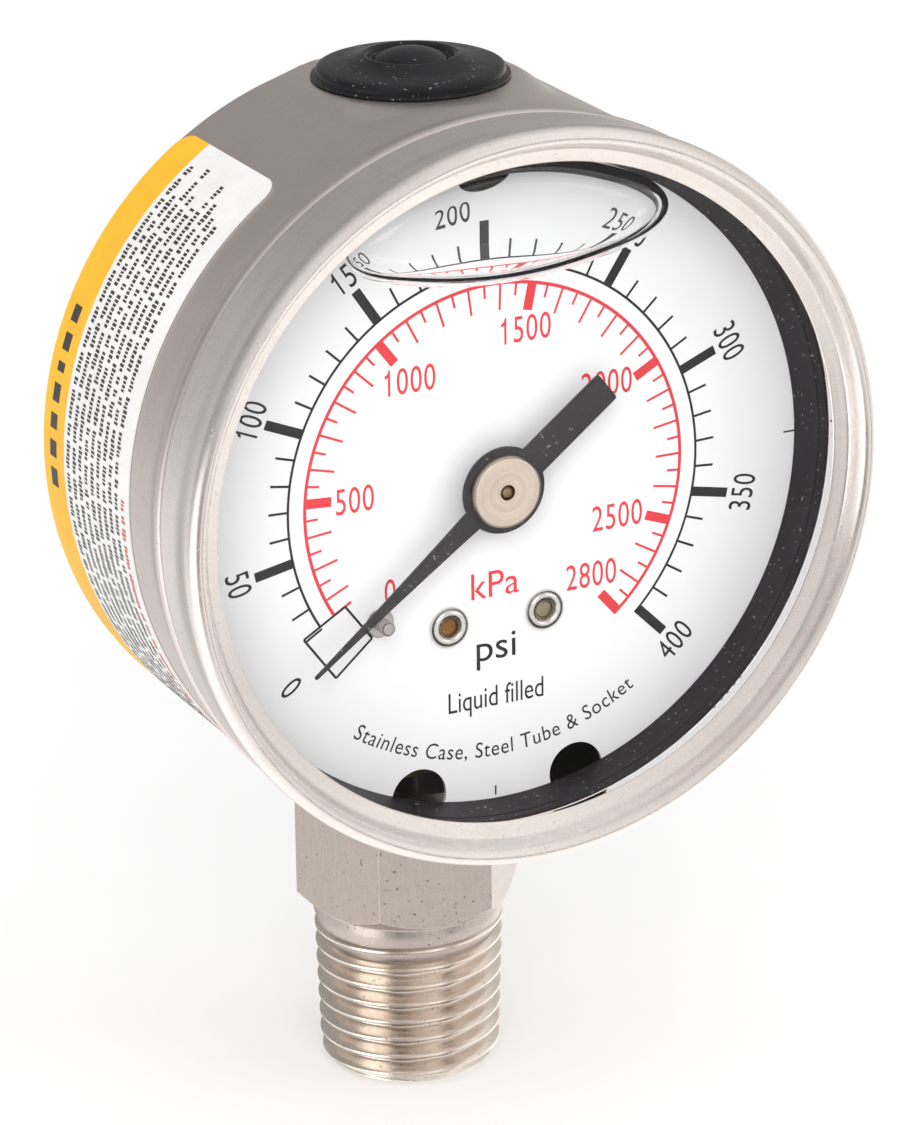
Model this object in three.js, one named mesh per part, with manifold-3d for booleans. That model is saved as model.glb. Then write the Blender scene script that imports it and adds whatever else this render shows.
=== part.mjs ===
// Liquid-filled pressure gauge, bottom connection. Millimetres, +Z up, dial faces -Y.
// The origin is the centre of the flat back of the case, on the case axis.
// Left and right are as seen from the front. Clock angles are degrees clockwise from 12.
import * as THREE from 'three';
import { mergeVertices } from 'three/addons/utils/BufferGeometryUtils.js';
import Module from 'manifold-3d';

// ---- case, bezel and lens ----
const RIM_SEGMENTS = 48;
const CASE_R = 25.57;          // outside
const CASE_BORE_R = 24.85;
const CASE_BACK_T = 0.7;
const CASE_FRONT_Y = -22.1;    // front edge, inside the bezel
const FLARE_R = 26.0;          // rolled ridge behind the bezel
const BEZEL_BACK_Y = -21.8;
const BEZEL_R = 26.23;         // widest radius of the front rim
const BEZEL_BORE_R = 25.55;
const WINDOW_R = 23.5;         // clear opening of the bezel
const BEZEL_FRONT_Y = -27.85;  // crest of the front rim
const BEZEL_LIP_Y = -25.88;    // back of the lip over the lens
const LENS_R = 24.75;          // front; the edge draws in towards the back
const LENS_BACK_R = 24.48;
const LENS_FRONT_Y = -25.82;
const LENS_BACK_Y = LENS_FRONT_Y + 3.6;
const GASKET_R = 24.8;         // outside, behind the shelf

// ---- dial and pointer ----
const DIAL_R = 24.3;
const DIAL_Y = -18.74;         // printed face
const DIAL_BACK_Y = DIAL_Y + 0.44;
const AXIS_X = -0.708;         // pointer axis, measured from the case axis
const AXIS_Z = -0.314;
const ZERO_ANGLE = -127.8;     // pointer at rest, clock angle
const POINTER_R = 18.3;        // pointer tip
const POINTER_TAIL_R = 10.2;
const POINTER_Y = -20.85;      // front face of the blade
const POINTER_T = 0.28;
const HUB_FACE_Y = -21.81;
const HUB_R = 2.56;
const DISC_R = 3.12;           // disc of the pointer behind the hub
const DIAL_SCREW_X = 3.69;     // from the pointer axis
const DIAL_SCREW_Z = -9.8;
const STOP_PIN_R = 12.38;      // from the pointer axis
const STOP_PIN_ANGLE = -133.6;

// ---- movement ----
const PLATE_T = 1.0;
const FRONT_PLATE_Y = -16.3;   // front faces of the plates
const REAR_PLATE_Y = -12.2;
const PLATE_HALF_WIDTH = 7.4;
const PLATE_TOP_Z = 4.6;       // from the pointer axis
const FRONT_PLATE_BOTTOM_Z = -16.0;
const REAR_PLATE_BOTTOM_Z = -22.2;
const PLATE_CHAMFER = 1.2;
const GAP = 0.04;              // between a plate and the parts on it
const PILLAR_X = 6.1;
const PILLAR_TOP_Z = 3.2;
const PILLAR_BOTTOM_Z = -14.6;
const PLATE_SCREW_X = 3.1;     // rear plate to socket, from the pointer axis
const PLATE_SCREW_Z = -19.6;
const CASE_SCREW_X = 3.3;      // case to socket; X from the pointer axis
const CASE_SCREW_Z = -18.4;    // from the case axis
const MODULE = 0.17;
const PINION_TEETH = 10;
const SECTOR_TEETH = 100;      // teeth a full circle would have
const TOOTH_ROOT = 0.2;        // inside the pitch radius
const TOOTH_TIP = 0.14;        // outside the pitch radius
const SECTOR_DZ = -9.4;        // sector shaft from the pointer axis
const SECTOR_FRONT_Y = -14.6;  // sector gear and ear of the tube tip
const SECTOR_BACK_Y = -14.0;
const TAIL_R = 3.4;            // sector shaft to tail pin
const TAIL_ANGLE = 153.5;
const SHAFT_END_Y = -11.25;    // rear end of both shafts

// ---- bourdon tube ----
const TUBE_R = 18.3;           // centre line about the pointer axis
const TUBE_Y = -7.8;
const TUBE_START = 194;
const TUBE_END = 475;
const TUBE_HALF_R = 1.05;      // half sizes of the section, radial and along Y
const TUBE_HALF_Y = 2.8;
const TIP_PIN_R = 16;
const TIP_PIN_ANGLE = 118;
const EAR_ROOT_R = 18.2;

// ---- socket, plug and label ----
const SOCKET_Y = -6.63;
const HEX_R = 8.46;            // across corners / 2
const HEX_TURN = -9.9;         // degrees
const HEX_TOP_Z = -26.5;
const HEX_BOTTOM_Z = -36.6;
const THREAD_TOP_Z = -37.0;
const THREAD_END_Z = -49.45;
const THREAD_TOP_R = 6.98;     // 1/4-18 taper pipe thread
const THREAD_PITCH = 1.411;
const THREAD_DEPTH = 0.6;
const BORE_R = 2.5;
const CHANNEL_R = 0.8;         // narrow passages between bore and tube
const NECK_R = 6.2;
const NECK_HOLE_R = NECK_R + 0.05;
const PLUG_Y = -7.69;
const PLUG_R = 6.95;
const PLUG_HOLE_R = 5.6;
const SEAT_Z = 25.3;           // flat seat of the plug on the case
const SEAT_R = 7.5;
const SEAT_CHAMFER = 0.3;
const LABEL_FROM = -147;       // clock angles
const LABEL_TO = -33;
const LABEL_BACK_Y = -1.25;
const LABEL_FRONT_Y = -16.0;
const LABEL_CORNER = 1.2;      // how far each end is cut back along Y
const LABEL_STEPS = 28;

const MATERIALS = {
  case: { color: 0x96938f, roughness: 0.42, metalness: 1 },
  bezel: { color: 0xb4b0aa, roughness: 0.3, metalness: 1 },
  lens: { color: 0xf4f7f8, roughness: 0.05, metalness: 0, transparent: true, opacity: 0.3 },
  gasket: { color: 0x17171a, roughness: 0.5, metalness: 0 },
  dial: { color: 0xf3f2f6, roughness: 0.45, metalness: 0 },
  dialScrew: { color: 0xb9a27a, roughness: 0.35, metalness: 1 },
  stopPin: { color: 0xb8b4ad, roughness: 0.35, metalness: 1 },
  pointer: { color: 0x17171a, roughness: 0.4, metalness: 0 },
  hub: { color: 0xb5ada0, roughness: 0.35, metalness: 1 },
  pinionShaft: { color: 0x8d6b3f, roughness: 0.4, metalness: 1 },
  brass: { color: 0xb08d4a, roughness: 0.35, metalness: 1 },
  hairspring: { color: 0xb79a5c, roughness: 0.3, metalness: 1 },
  steel: { color: 0xa09d98, roughness: 0.38, metalness: 1 },
  tube: { color: 0xa9a59c, roughness: 0.35, metalness: 1 },
  socket: { color: 0xaca59c, roughness: 0.33, metalness: 1 },
  seal: { color: 0x141416, roughness: 0.45, metalness: 0 },
  plug: { color: 0x121214, roughness: 0.4, metalness: 0 },
  label: { color: 0xf3b51e, roughness: 0.5, metalness: 0 },
};

// ---- places in the XZ plane, as [x, z] ----
const CENTRE = [0, 0];
const AXIS = [AXIS_X, AXIS_Z];
const SIDES = [[-1, 'left'], [1, 'right']];
const fromAxis = (x, z) => [AXIS_X + x, AXIS_Z + z];
function clockPoint(radius, angle, [x, z] = AXIS) {
  const turn = THREE.MathUtils.degToRad(angle);
  return [x + radius * Math.sin(turn), z + radius * Math.cos(turn)];
}
const bothSides = place => SIDES.map(([side]) => place(side));
const dialScrewAt = side => fromAxis(side * DIAL_SCREW_X, DIAL_SCREW_Z);
const plateScrewAt = side => fromAxis(side * PLATE_SCREW_X, PLATE_SCREW_Z);
const caseScrewAt = side => [AXIS_X + side * CASE_SCREW_X, CASE_SCREW_Z];
const STOP_PIN = clockPoint(STOP_PIN_R, STOP_PIN_ANGLE);
const SECTOR_AXIS = fromAxis(0, SECTOR_DZ);
const TAIL_PIN = clockPoint(TAIL_R, TAIL_ANGLE, SECTOR_AXIS);
const TIP_PIN = clockPoint(TIP_PIN_R, TIP_PIN_ANGLE);
const PILLARS = [
  ['upper_left', fromAxis(-PILLAR_X, PILLAR_TOP_Z)],
  ['upper_right', fromAxis(PILLAR_X, PILLAR_TOP_Z)],
  ['lower_left', fromAxis(-PILLAR_X, PILLAR_BOTTOM_Z)],
  ['lower_right', fromAxis(PILLAR_X, PILLAR_BOTTOM_Z)],
];

// ---- solids: { points: [[x, y, z]], triangles: [[a, b, c]] } ----
function signedVolume({ points, triangles }) {
  let sum = 0;
  for (const [a, b, c] of triangles) {
    const [ax, ay, az] = points[a];
    const [bx, by, bz] = points[b];
    const [cx, cy, cz] = points[c];
    sum += ax * (by * cz - bz * cy) - ay * (bx * cz - bz * cx) + az * (bx * cy - by * cx);
  }
  return sum / 6;
}
function outward(solid) {
  if (signedVolume(solid) >= 0) return solid;
  return { points: solid.points, triangles: solid.triangles.map(([a, b, c]) => [a, c, b]) };
}
function mapPoints({ points, triangles }, move) {
  return outward({ points: points.map(move), triangles });
}

// Revolves a closed profile [[radius, height], ...] round +Z; radius 0 makes a pole.
function revolve(profile, segments) {
  const points = [];
  const triangles = [];
  const rings = profile.map(([radius, height]) => {
    const ring = [];
    const count = radius < 1e-9 ? 1 : segments;
    for (let i = 0; i < count; i++) {
      const turn = 2 * Math.PI * i / segments;
      ring.push(points.length);
      points.push([radius * Math.cos(turn), radius * Math.sin(turn), height]);
    }
    return ring;
  });
  rings.forEach((a, k) => {
    const b = rings[(k + 1) % rings.length];
    if (a.length === 1 && b.length === 1) return;
    for (let i = 0; i < segments; i++) {
      const j = (i + 1) % segments;
      if (a.length === 1) triangles.push([a[0], b[i], b[j]]);
      else if (b.length === 1) triangles.push([a[i], b[0], a[j]]);
      else triangles.push([a[i], b[i], b[j]], [a[i], b[j], a[j]]);
    }
  });
  return outward({ points, triangles });
}
// The same round an axis parallel to Y or Z; heights are Y or Z coordinates.
function revolveY(profile, segments, [x, z] = CENTRE) {
  return mapPoints(revolve(profile, segments), ([a, b, height]) => [x + a, height, z + b]);
}
function revolveZ(profile, segments, x, y) {
  return mapPoints(revolve(profile, segments), ([a, b, height]) => [x + a, y + b, height]);
}
const rod = (radius, from, to) => [[0, from], [radius, from], [radius, to], [0, to]];
const pipe = (inner, outer, from, to) => [[inner, from], [outer, from], [outer, to], [inner, to]];
function rodY(radius, from, to, segments, at) {
  return revolveY(rod(radius, from, to), segments, at);
}
function rodZ(radius, from, to, segments, x = AXIS_X, y = SOCKET_Y) {
  return revolveZ(rod(radius, from, to), segments, x, y);
}

// Flat plate from an outline [[x, z], ...] between two Y values.
function plate(outline, y0, y1) {
  const corners = outline.map(([x, z]) => new THREE.Vector2(x, z));
  if (THREE.ShapeUtils.area(corners) < 0) corners.reverse();
  const count = corners.length;
  const points = [y0, y1].flatMap(y => corners.map(corner => [corner.x, y, corner.y]));
  const triangles = [];
  for (const [a, b, c] of THREE.ShapeUtils.triangulateShape(corners, [])) {
    triangles.push([a, b, c], [count + a, count + c, count + b]);
  }
  for (let i = 0; i < count; i++) {
    const j = (i + 1) % count;
    triangles.push([i, count + j, j], [i, count + i, count + j]);
  }
  return outward({ points, triangles });
}

// Skin over closed sections with equal point counts, capped at both ends.
function loft(sections) {
  const triangles = [];
  const count = sections[0].length;
  const end = (sections.length - 1) * count;
  for (let a = 0; a < end; a += count) {
    const b = a + count;
    for (let i = 0; i < count; i++) {
      const j = (i + 1) % count;
      triangles.push([a + i, b + i, b + j], [a + i, b + j, a + j]);
    }
  }
  for (let i = 1; i < count - 1; i++) {
    triangles.push([0, i, i + 1], [end, end + i + 1, end + i]);
  }
  return outward({ points: sections.flat(), triangles });
}

// Outline of a straight bar between two places, with a half width at each.
function barOutline([x0, z0], [x1, z1], half0, half1) {
  const length = Math.hypot(x1 - x0, z1 - z0);
  const nx = (z0 - z1) / length;
  const nz = (x1 - x0) / length;
  return [
    [x0 + half0 * nx, z0 + half0 * nz], [x1 + half1 * nx, z1 + half1 * nz],
    [x1 - half1 * nx, z1 - half1 * nz], [x0 - half0 * nx, z0 - half0 * nz],
  ];
}

// ---- booleans ----
const wasm = await Module();
wasm.setup();
const { Manifold, Mesh: ManifoldMesh } = wasm;
function toManifold({ points, triangles }) {
  return new Manifold(new ManifoldMesh({
    numProp: 3,
    vertProperties: new Float32Array(points.flat()),
    triVerts: new Uint32Array(triangles.flat()),
  }));
}
function fromManifold(manifold) {
  const { vertProperties, triVerts, numProp } = manifold.getMesh();
  const points = [];
  const triangles = [];
  for (let i = 0; i < vertProperties.length; i += numProp) {
    points.push([...vertProperties.slice(i, i + 3)]);
  }
  for (let i = 0; i < triVerts.length; i += 3) triangles.push([...triVerts.slice(i, i + 3)]);
  return { points, triangles };
}
function combine(operation, first, others) {
  const start = toManifold(first);
  return fromManifold(others.reduce((sum, solid) => sum[operation](toManifold(solid)), start));
}
const cut = (solid, ...tools) => combine('subtract', solid, tools);
const join = (solid, ...more) => combine('add', solid, more);
const common = (a, b) => combine('intersect', a, [b]);

const group = new THREE.Group();
group.name = 'pressure_gauge';
function add(name, { points, triangles }, material) {
  const geometry = new THREE.BufferGeometry();
  geometry.setAttribute('position', new THREE.Float32BufferAttribute(points.flat(), 3));
  geometry.setIndex(triangles.flat());
  const merged = mergeVertices(geometry, 1e-5);
  merged.computeVertexNormals();
  const mesh = new THREE.Mesh(merged, new THREE.MeshStandardMaterial(material));
  mesh.name = name;
  group.add(mesh);
}

// ---- case, bezel ring, lens and gasket; profiles are [radius, y] ----
function caseBody() {
  const shell = revolveY([
    [0, 0], [24.4, 0], [25.15, -0.3], [CASE_R, -1.2], [CASE_R, -19.3], [25.75, -20.3],
    [FLARE_R, -20.9], [FLARE_R, -21.4], [25.45, -21.7], [25.45, CASE_FRONT_Y],
    [CASE_BORE_R, CASE_FRONT_Y], [CASE_BORE_R, -1.5], [24.1, -CASE_BACK_T], [0, -CASE_BACK_T],
  ], RIM_SEGMENTS);
  const flatR = SEAT_R - SEAT_CHAMFER;
  const aboveSeat = rodZ(flatR, SEAT_Z, 30, 40, 0, PLUG_Y);
  const pad = revolveZ([
    [0, 23.5], [SEAT_R, 23.5], [SEAT_R, SEAT_Z - 0.35], [flatR, SEAT_Z], [0, SEAT_Z],
  ], 40, 0, PLUG_Y);
  const seat = cut(pad, rodY(CASE_BORE_R, -20, -CASE_BACK_T, RIM_SEGMENTS));
  const countersink = [
    [0, 0.2], [2.15, 0.2], [1.95, 0], [1.15, -0.7], [1.15, -1], [0, -1],
  ];
  return cut(join(cut(shell, aboveSeat), seat),
    rodZ(PLUG_HOLE_R, 20, 30, 32, 0, PLUG_Y),
    rodZ(NECK_HOLE_R, -30, -20, 32),
    ...bothSides(side => revolveY(countersink, 16, caseScrewAt(side))));
}
add('case', caseBody(), MATERIALS.case);

add('bezel_ring', revolveY([
  [25.55, BEZEL_BACK_Y], [25.8, BEZEL_BACK_Y], [25.92, -22.05], [25.9, -24.3], [26.05, -25.4],
  [26.2, -26.3], [BEZEL_R, -26.9], [26.05, -27.5], [25.5, BEZEL_FRONT_Y], [24.95, -27.5],
  [24.55, -26.5], [24.4, -26.35], [WINDOW_R + 0.05, -25.98], [WINDOW_R, BEZEL_LIP_Y],
  [BEZEL_BORE_R, BEZEL_LIP_Y],
], RIM_SEGMENTS), MATERIALS.bezel);

add('lens', revolveY([
  [0, LENS_FRONT_Y], [LENS_R, LENS_FRONT_Y], [LENS_BACK_R, LENS_BACK_Y], [0, LENS_BACK_Y],
], RIM_SEGMENTS), MATERIALS.lens);

function lensGasket() {
  const frontY = LENS_FRONT_Y + 0.03;
  const shelfY = LENS_BACK_Y + 0.06;
  const backY = DIAL_Y - 0.08;
  const outerR = BEZEL_BORE_R - 0.05;
  const lipFrontR = 24.38;
  const lipDepth = 1.18;
  const ring = revolveY([
    [LENS_R + 0.12, frontY], [outerR, frontY], [outerR, shelfY], [GASKET_R, shelfY],
    [GASKET_R, backY], [23.2, backY], [23.36, -19.3], [23.76, -20.4], [24.13, -21.5],
    [lipFrontR, shelfY + 0.02], [LENS_BACK_R + 0.12, shelfY],
  ], RIM_SEGMENTS);
  // The inner lip sits a little off centre, to the left and down.
  return mapPoints(ring, ([x, y, z]) => {
    const weight = Math.max(0, (lipFrontR - Math.hypot(x, z)) / lipDepth);
    return [x - 0.35 * weight, y, z - 0.3 * weight];
  });
}
add('lens_gasket', lensGasket(), MATERIALS.gasket);

// ---- dial, its screws and spacers, stop pin ----
function dial() {
  const hole = (radius, segments, at) => rodY(radius, DIAL_Y - 1, DIAL_Y + 2, segments, at);
  const edgeHoles = [[22.9, -164.3], [23.2, 164.7], [23.4, -1.0]];  // radius, clock angle
  return cut(rodY(DIAL_R, DIAL_Y, DIAL_BACK_Y, RIM_SEGMENTS),
    hole(2.2, 20, AXIS),
    ...edgeHoles.map(([radius, angle]) => hole(2.1, 20, clockPoint(radius, angle))),
    ...bothSides(side => hole(0.7, 12, dialScrewAt(side))),
    hole(0.55, 12, STOP_PIN));
}
add('dial', dial(), MATERIALS.dial);

for (const [side, sideName] of SIDES) {
  const at = dialScrewAt(side);
  add('dial_screw_' + sideName, revolveY([
    [0, DIAL_Y - 0.08], [0.85, DIAL_Y - 0.08], [0.95, DIAL_Y - 0.35], [1.25, DIAL_Y - 0.35],
    [1.45, DIAL_Y - 0.2], [1.45, DIAL_Y - 0.05], [0.62, DIAL_Y - 0.05], [0.62, -15.35],
    [0, -15.35],
  ], 16, at), MATERIALS.dialScrew);
  const spacer = pipe(0.7, 1.3, DIAL_BACK_Y + 0.05, FRONT_PLATE_Y - 0.05);
  add('dial_spacer_' + sideName, revolveY(spacer, 16, at), MATERIALS.brass);
}
add('stop_pin', revolveY([
  [0, -21.15], [0.4, -21.15], [0.5, -21.05], [0.5, DIAL_Y + 0.5], [0.8, DIAL_Y + 0.5],
  [0.8, DIAL_Y + 0.8], [0, DIAL_Y + 0.8],
], 12, STOP_PIN), MATERIALS.stopPin);

// ---- pointer, hub and pinion ----
function pointer() {
  // distance from the axis towards the tip, half width
  const halfBlade = [
    [POINTER_R, 0.1], [8, 0.55], [2, 0.85], [-2, 1], [-3.4, 1.2], [-POINTER_TAIL_R, 1.2],
  ];
  const edge = side => halfBlade.map(([along, half]) =>
    clockPoint(side * half, ZERO_ANGLE + 90, clockPoint(along, ZERO_ANGLE)));
  const backY = POINTER_Y + POINTER_T;
  const blade = plate([...edge(1), ...edge(-1).reverse()], POINTER_Y, backY);
  const disc = rodY(DISC_R, POINTER_Y, backY, 32, AXIS);
  return cut(join(blade, disc), rodY(1.25, -22, -18, 20, AXIS));
}
add('pointer', pointer(), MATERIALS.pointer);

const HUB_BACK_Y = POINTER_Y - 0.03;
add('pointer_hub', revolveY([
  [0.52, HUB_FACE_Y], [HUB_R - 0.15, HUB_FACE_Y], [HUB_R, HUB_FACE_Y + 0.15],
  [HUB_R, HUB_BACK_Y], [1.2, HUB_BACK_Y], [1.2, -19.3], [0.52, -19.3],
], 24, AXIS), MATERIALS.hub);
add('pinion_shaft', revolveY([
  [0, -21.78], [0.38, -21.78], [0.47, -21.6], [0.47, -12.3], [0.33, -12.3],
  [0.33, SHAFT_END_Y], [0, SHAFT_END_Y],
], 16, AXIS), MATERIALS.pinionShaft);

// Tooth points clockwise; half angles are at root, pitch radius and tip.
function toothOutline(teeth, centres, [root, middle, tip], axis) {
  const pitchR = MODULE * teeth / 2;
  const tooth = [
    [pitchR - TOOTH_ROOT, -root], [pitchR, -middle], [pitchR + TOOTH_TIP, -tip],
    [pitchR + TOOTH_TIP, tip], [pitchR, middle], [pitchR - TOOTH_ROOT, root],
  ];
  return centres.flatMap(centre =>
    tooth.map(([radius, angle]) => clockPoint(radius, centre + angle, axis)));
}
function pinionGear() {
  const step = 360 / PINION_TEETH;
  const centres = Array.from({ length: PINION_TEETH }, (_, i) => (i + 0.5) * step);
  const outline = toothOutline(PINION_TEETH, centres, [10, 7, 3.5], AXIS);
  return cut(plate(outline, -14.9, -13.7), rodY(0.5, -16, -12, 16, AXIS));
}
add('pinion_gear', pinionGear(), MATERIALS.brass);

// ---- hairspring ----
add('hairspring_collet', revolveY(pipe(0.5, 0.95, -13.3, -12.5), 16, AXIS), MATERIALS.brass);

function hairspring() {
  const turns = 4.2;
  const steps = 66;
  const innerR = 1.08;
  const outerR = 3.7;
  const halfT = 0.06;
  const frontY = -13.1;
  const backY = -12.7;
  const sections = [];
  for (let k = 0; k <= steps; k++) {
    const part = k / steps;
    const angle = -90 + 360 * turns * (1 - part);
    const radius = innerR + (outerR - innerR) * part;
    const [x0, z0] = clockPoint(radius - halfT, angle);
    const [x1, z1] = clockPoint(radius + halfT, angle);
    sections.push([[x0, frontY, z0], [x1, frontY, z1], [x1, backY, z1], [x0, backY, z0]]);
  }
  return loft(sections);
}
add('hairspring', hairspring(), MATERIALS.hairspring);
add('hairspring_stud', rodY(0.4, -13.3, -12.25, 12, fromAxis(-4.22, 0)), MATERIALS.brass);

// ---- movement plates, pillars and screws ----
function movementPlate(frontY, bottomZ, holes) {
  const c = PLATE_CHAMFER;
  const x = PLATE_HALF_WIDTH;
  const outline = [
    [c - x, bottomZ], [x - c, bottomZ], [x, bottomZ + c], [x, PLATE_TOP_Z - c],
    [x - c, PLATE_TOP_Z], [c - x, PLATE_TOP_Z], [-x, PLATE_TOP_Z - c], [-x, bottomZ + c],
  ].map(([dx, dz]) => fromAxis(dx, dz));
  return cut(plate(outline, frontY, frontY + PLATE_T),
    ...holes.map(([radius, at]) => rodY(radius, frontY - 1, frontY + PLATE_T + 1, 12, at)));
}
// holes are [radius, place]
add('movement_front_plate', movementPlate(FRONT_PLATE_Y, FRONT_PLATE_BOTTOM_Z, [
  [0.56, AXIS], [0.42, SECTOR_AXIS],
  ...PILLARS.map(([, at]) => [0.52, at]),
  ...bothSides(side => [0.7, dialScrewAt(side)]),
  [0.9, STOP_PIN],
]), MATERIALS.brass);
add('movement_rear_plate', movementPlate(REAR_PLATE_Y, REAR_PLATE_BOTTOM_Z, [
  [0.4, AXIS], [0.42, SECTOR_AXIS],
  ...bothSides(side => [0.75, plateScrewAt(side)]),
]), MATERIALS.brass);

const PILLAR_FRONT_Y = FRONT_PLATE_Y + PLATE_T + GAP;
const PILLAR_BACK_Y = REAR_PLATE_Y - GAP;
for (const [place, at] of PILLARS) {
  add('pillar_' + place, revolveY([
    [0.5, PILLAR_FRONT_Y], [1.0, PILLAR_FRONT_Y], [1.0, PILLAR_BACK_Y], [0, PILLAR_BACK_Y],
    [0, -13.2], [0.5, -13.2],
  ], 16, at), MATERIALS.brass);
  add('movement_screw_' + place, revolveY([
    [0, FRONT_PLATE_Y - 0.6], [0.7, FRONT_PLATE_Y - 0.6], [0.9, FRONT_PLATE_Y - 0.4],
    [0.9, FRONT_PLATE_Y - GAP], [0.45, FRONT_PLATE_Y - GAP], [0.45, -13.6], [0, -13.6],
  ], 12, at), MATERIALS.steel);
}
for (const [side, sideName] of SIDES) {
  add('plate_screw_' + sideName, revolveY([
    [0, REAR_PLATE_Y - 0.9], [1.0, REAR_PLATE_Y - 0.9], [1.25, REAR_PLATE_Y - 0.65],
    [1.25, REAR_PLATE_Y - GAP], [0.68, REAR_PLATE_Y - GAP], [0.68, -8.2], [0, -8.2],
  ], 12, plateScrewAt(side)), MATERIALS.steel);
  add('case_screw_' + sideName, revolveY([
    [0, -0.35], [0.9, -0.35], [0.9, 0], [1.85, 0], [1.03, -0.75], [1.0, -4.2], [0, -4.2],
  ], 16, caseScrewAt(side)), MATERIALS.steel);
}

// ---- sector, shaft and tail pin ----
function sectorGear() {
  const onSector = (radius, angle) => clockPoint(radius, angle, SECTOR_AXIS);
  const layer = outline => plate(outline, SECTOR_FRONT_Y, SECTOR_BACK_Y);
  const boss = (radius, segments, at) =>
    rodY(radius, SECTOR_FRONT_Y, SECTOR_BACK_Y, segments, at);
  const centres = [];
  for (let k = -1; k <= 9; k++) centres.push(k * 360 / SECTOR_TEETH);
  const rim = toothOutline(SECTOR_TEETH, centres, [0.95, 0.7, 0.35], SECTOR_AXIS);
  for (let angle = 34.5; angle >= -6; angle -= 4.5) rim.push(onSector(7.1, angle));
  const web = [onSector(7.3, 1), onSector(7.3, 28), onSector(1.0, 75), onSector(1.0, -45)];
  const tail = barOutline(SECTOR_AXIS, TAIL_PIN, 1, 0.75);
  return cut(
    join(layer(rim), layer(web), layer(tail), boss(1.4, 20, SECTOR_AXIS),
      boss(0.85, 16, TAIL_PIN)),
    rodY(0.53, -16, -13, 16, SECTOR_AXIS), rodY(0.38, -16, -13, 12, TAIL_PIN));
}
add('sector_gear', sectorGear(), MATERIALS.brass);
add('sector_shaft', revolveY([
  [0, -16.25], [0.35, -16.25], [0.35, -15.2], [0.5, -15.2], [0.5, -13.8], [0.7, -13.8],
  [0.7, -12.35], [0.35, -12.35], [0.35, SHAFT_END_Y], [0, SHAFT_END_Y],
], 16, SECTOR_AXIS), MATERIALS.steel);

const LINK_PIN_PROFILE = [
  [0, -14.85], [0.6, -14.85], [0.6, -14.65], [0.35, -14.65], [0.35, -13.3], [0, -13.3],
];
add('tail_pin', revolveY(LINK_PIN_PROFILE, 12, TAIL_PIN), MATERIALS.steel);

// ---- link between the sector tail and the tip of the tube ----
function link() {
  const frontY = -13.9;
  const backY = -13.5;
  const bar = plate(barOutline(TAIL_PIN, TIP_PIN, 0.6, 0.6), frontY, backY);
  return cut(
    join(bar, rodY(0.9, frontY, backY, 16, TAIL_PIN), rodY(1.05, frontY, backY, 16, TIP_PIN)),
    rodY(0.4, -15, -13, 16, TAIL_PIN), rodY(0.6, -15, -13, 16, TIP_PIN));
}
add('link', link(), MATERIALS.steel);

// ---- bourdon tube and its tip ----
function tubeSection(angle, halfR, halfY) {
  const rounded = (value, power) => Math.sign(value) * Math.pow(Math.abs(value), power);
  const section = [];
  for (let i = 0; i < 10; i++) {
    const turn = THREE.MathUtils.degToRad((i + 0.5) * 36);
    const [x, z] = clockPoint(TUBE_R + halfR * rounded(Math.cos(turn), 0.8), angle);
    section.push([x, TUBE_Y + halfY * rounded(Math.sin(turn), 0.6), z]);
  }
  return section;
}
function tubeSweep(from, to, steps, halfR, halfY) {
  const sections = [];
  for (let k = 0; k <= steps; k++) {
    sections.push(tubeSection(from + (to - from) * k / steps, halfR, halfY));
  }
  return loft(sections);
}
add('bourdon_tube', cut(
  tubeSweep(TUBE_START, TUBE_END, 26, TUBE_HALF_R, TUBE_HALF_Y),
  tubeSweep(TUBE_START - 3, TUBE_END + 3, 27, 0.62, 2.3),
), MATERIALS.tube);

function tubeTip() {
  const start = TUBE_END - 360 + 0.2;
  const span = 9;
  const arc = radius => [0, 1, 2, 3, 4].map(k => clockPoint(radius, start + span * k / 4));
  const block = plate([...arc(19.5), ...arc(17.35).reverse()], -14.6, -4.9);
  const ear = plate([
    clockPoint(0.9, TIP_PIN_ANGLE + 90, TIP_PIN),
    clockPoint(EAR_ROOT_R, TIP_PIN_ANGLE + 1.5),
    clockPoint(EAR_ROOT_R, TIP_PIN_ANGLE - 1.5),
    clockPoint(0.9, TIP_PIN_ANGLE - 90, TIP_PIN),
  ], SECTOR_FRONT_Y, SECTOR_BACK_Y);
  const boss = rodY(0.95, SECTOR_FRONT_Y, SECTOR_BACK_Y, 16, TIP_PIN);
  return cut(join(block, ear, boss), rodY(0.38, -16, -13, 12, TIP_PIN));
}
add('tube_tip', tubeTip(), MATERIALS.steel);
add('tip_pin', revolveY(LINK_PIN_PROFILE, 12, TIP_PIN), MATERIALS.steel);

// ---- socket: hex, taper thread, neck and inner block in one piece ----
function socketHex() {
  const corners = [];
  for (let k = 0; k < 6; k++) {
    const turn = THREE.MathUtils.degToRad(HEX_TURN + 30 + 60 * k);
    corners.push([AXIS_X + HEX_R * Math.sin(turn), SOCKET_Y - HEX_R * Math.cos(turn)]);
  }
  const flat = plate(corners, HEX_BOTTOM_Z, HEX_TOP_Z);
  const prism = mapPoints(flat, ([x, height, y]) => [x, y, height]);
  const outerR = HEX_R + 0.2;
  const chamfered = revolveZ([
    [0, HEX_BOTTOM_Z], [7.2, HEX_BOTTOM_Z], [outerR, HEX_BOTTOM_Z + 1.25],
    [outerR, HEX_TOP_Z - 0.5], [HEX_R - 0.5, HEX_TOP_Z], [0, HEX_TOP_Z],
  ], 28, AXIS_X, SOCKET_Y);
  return common(prism, chamfered);
}
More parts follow.
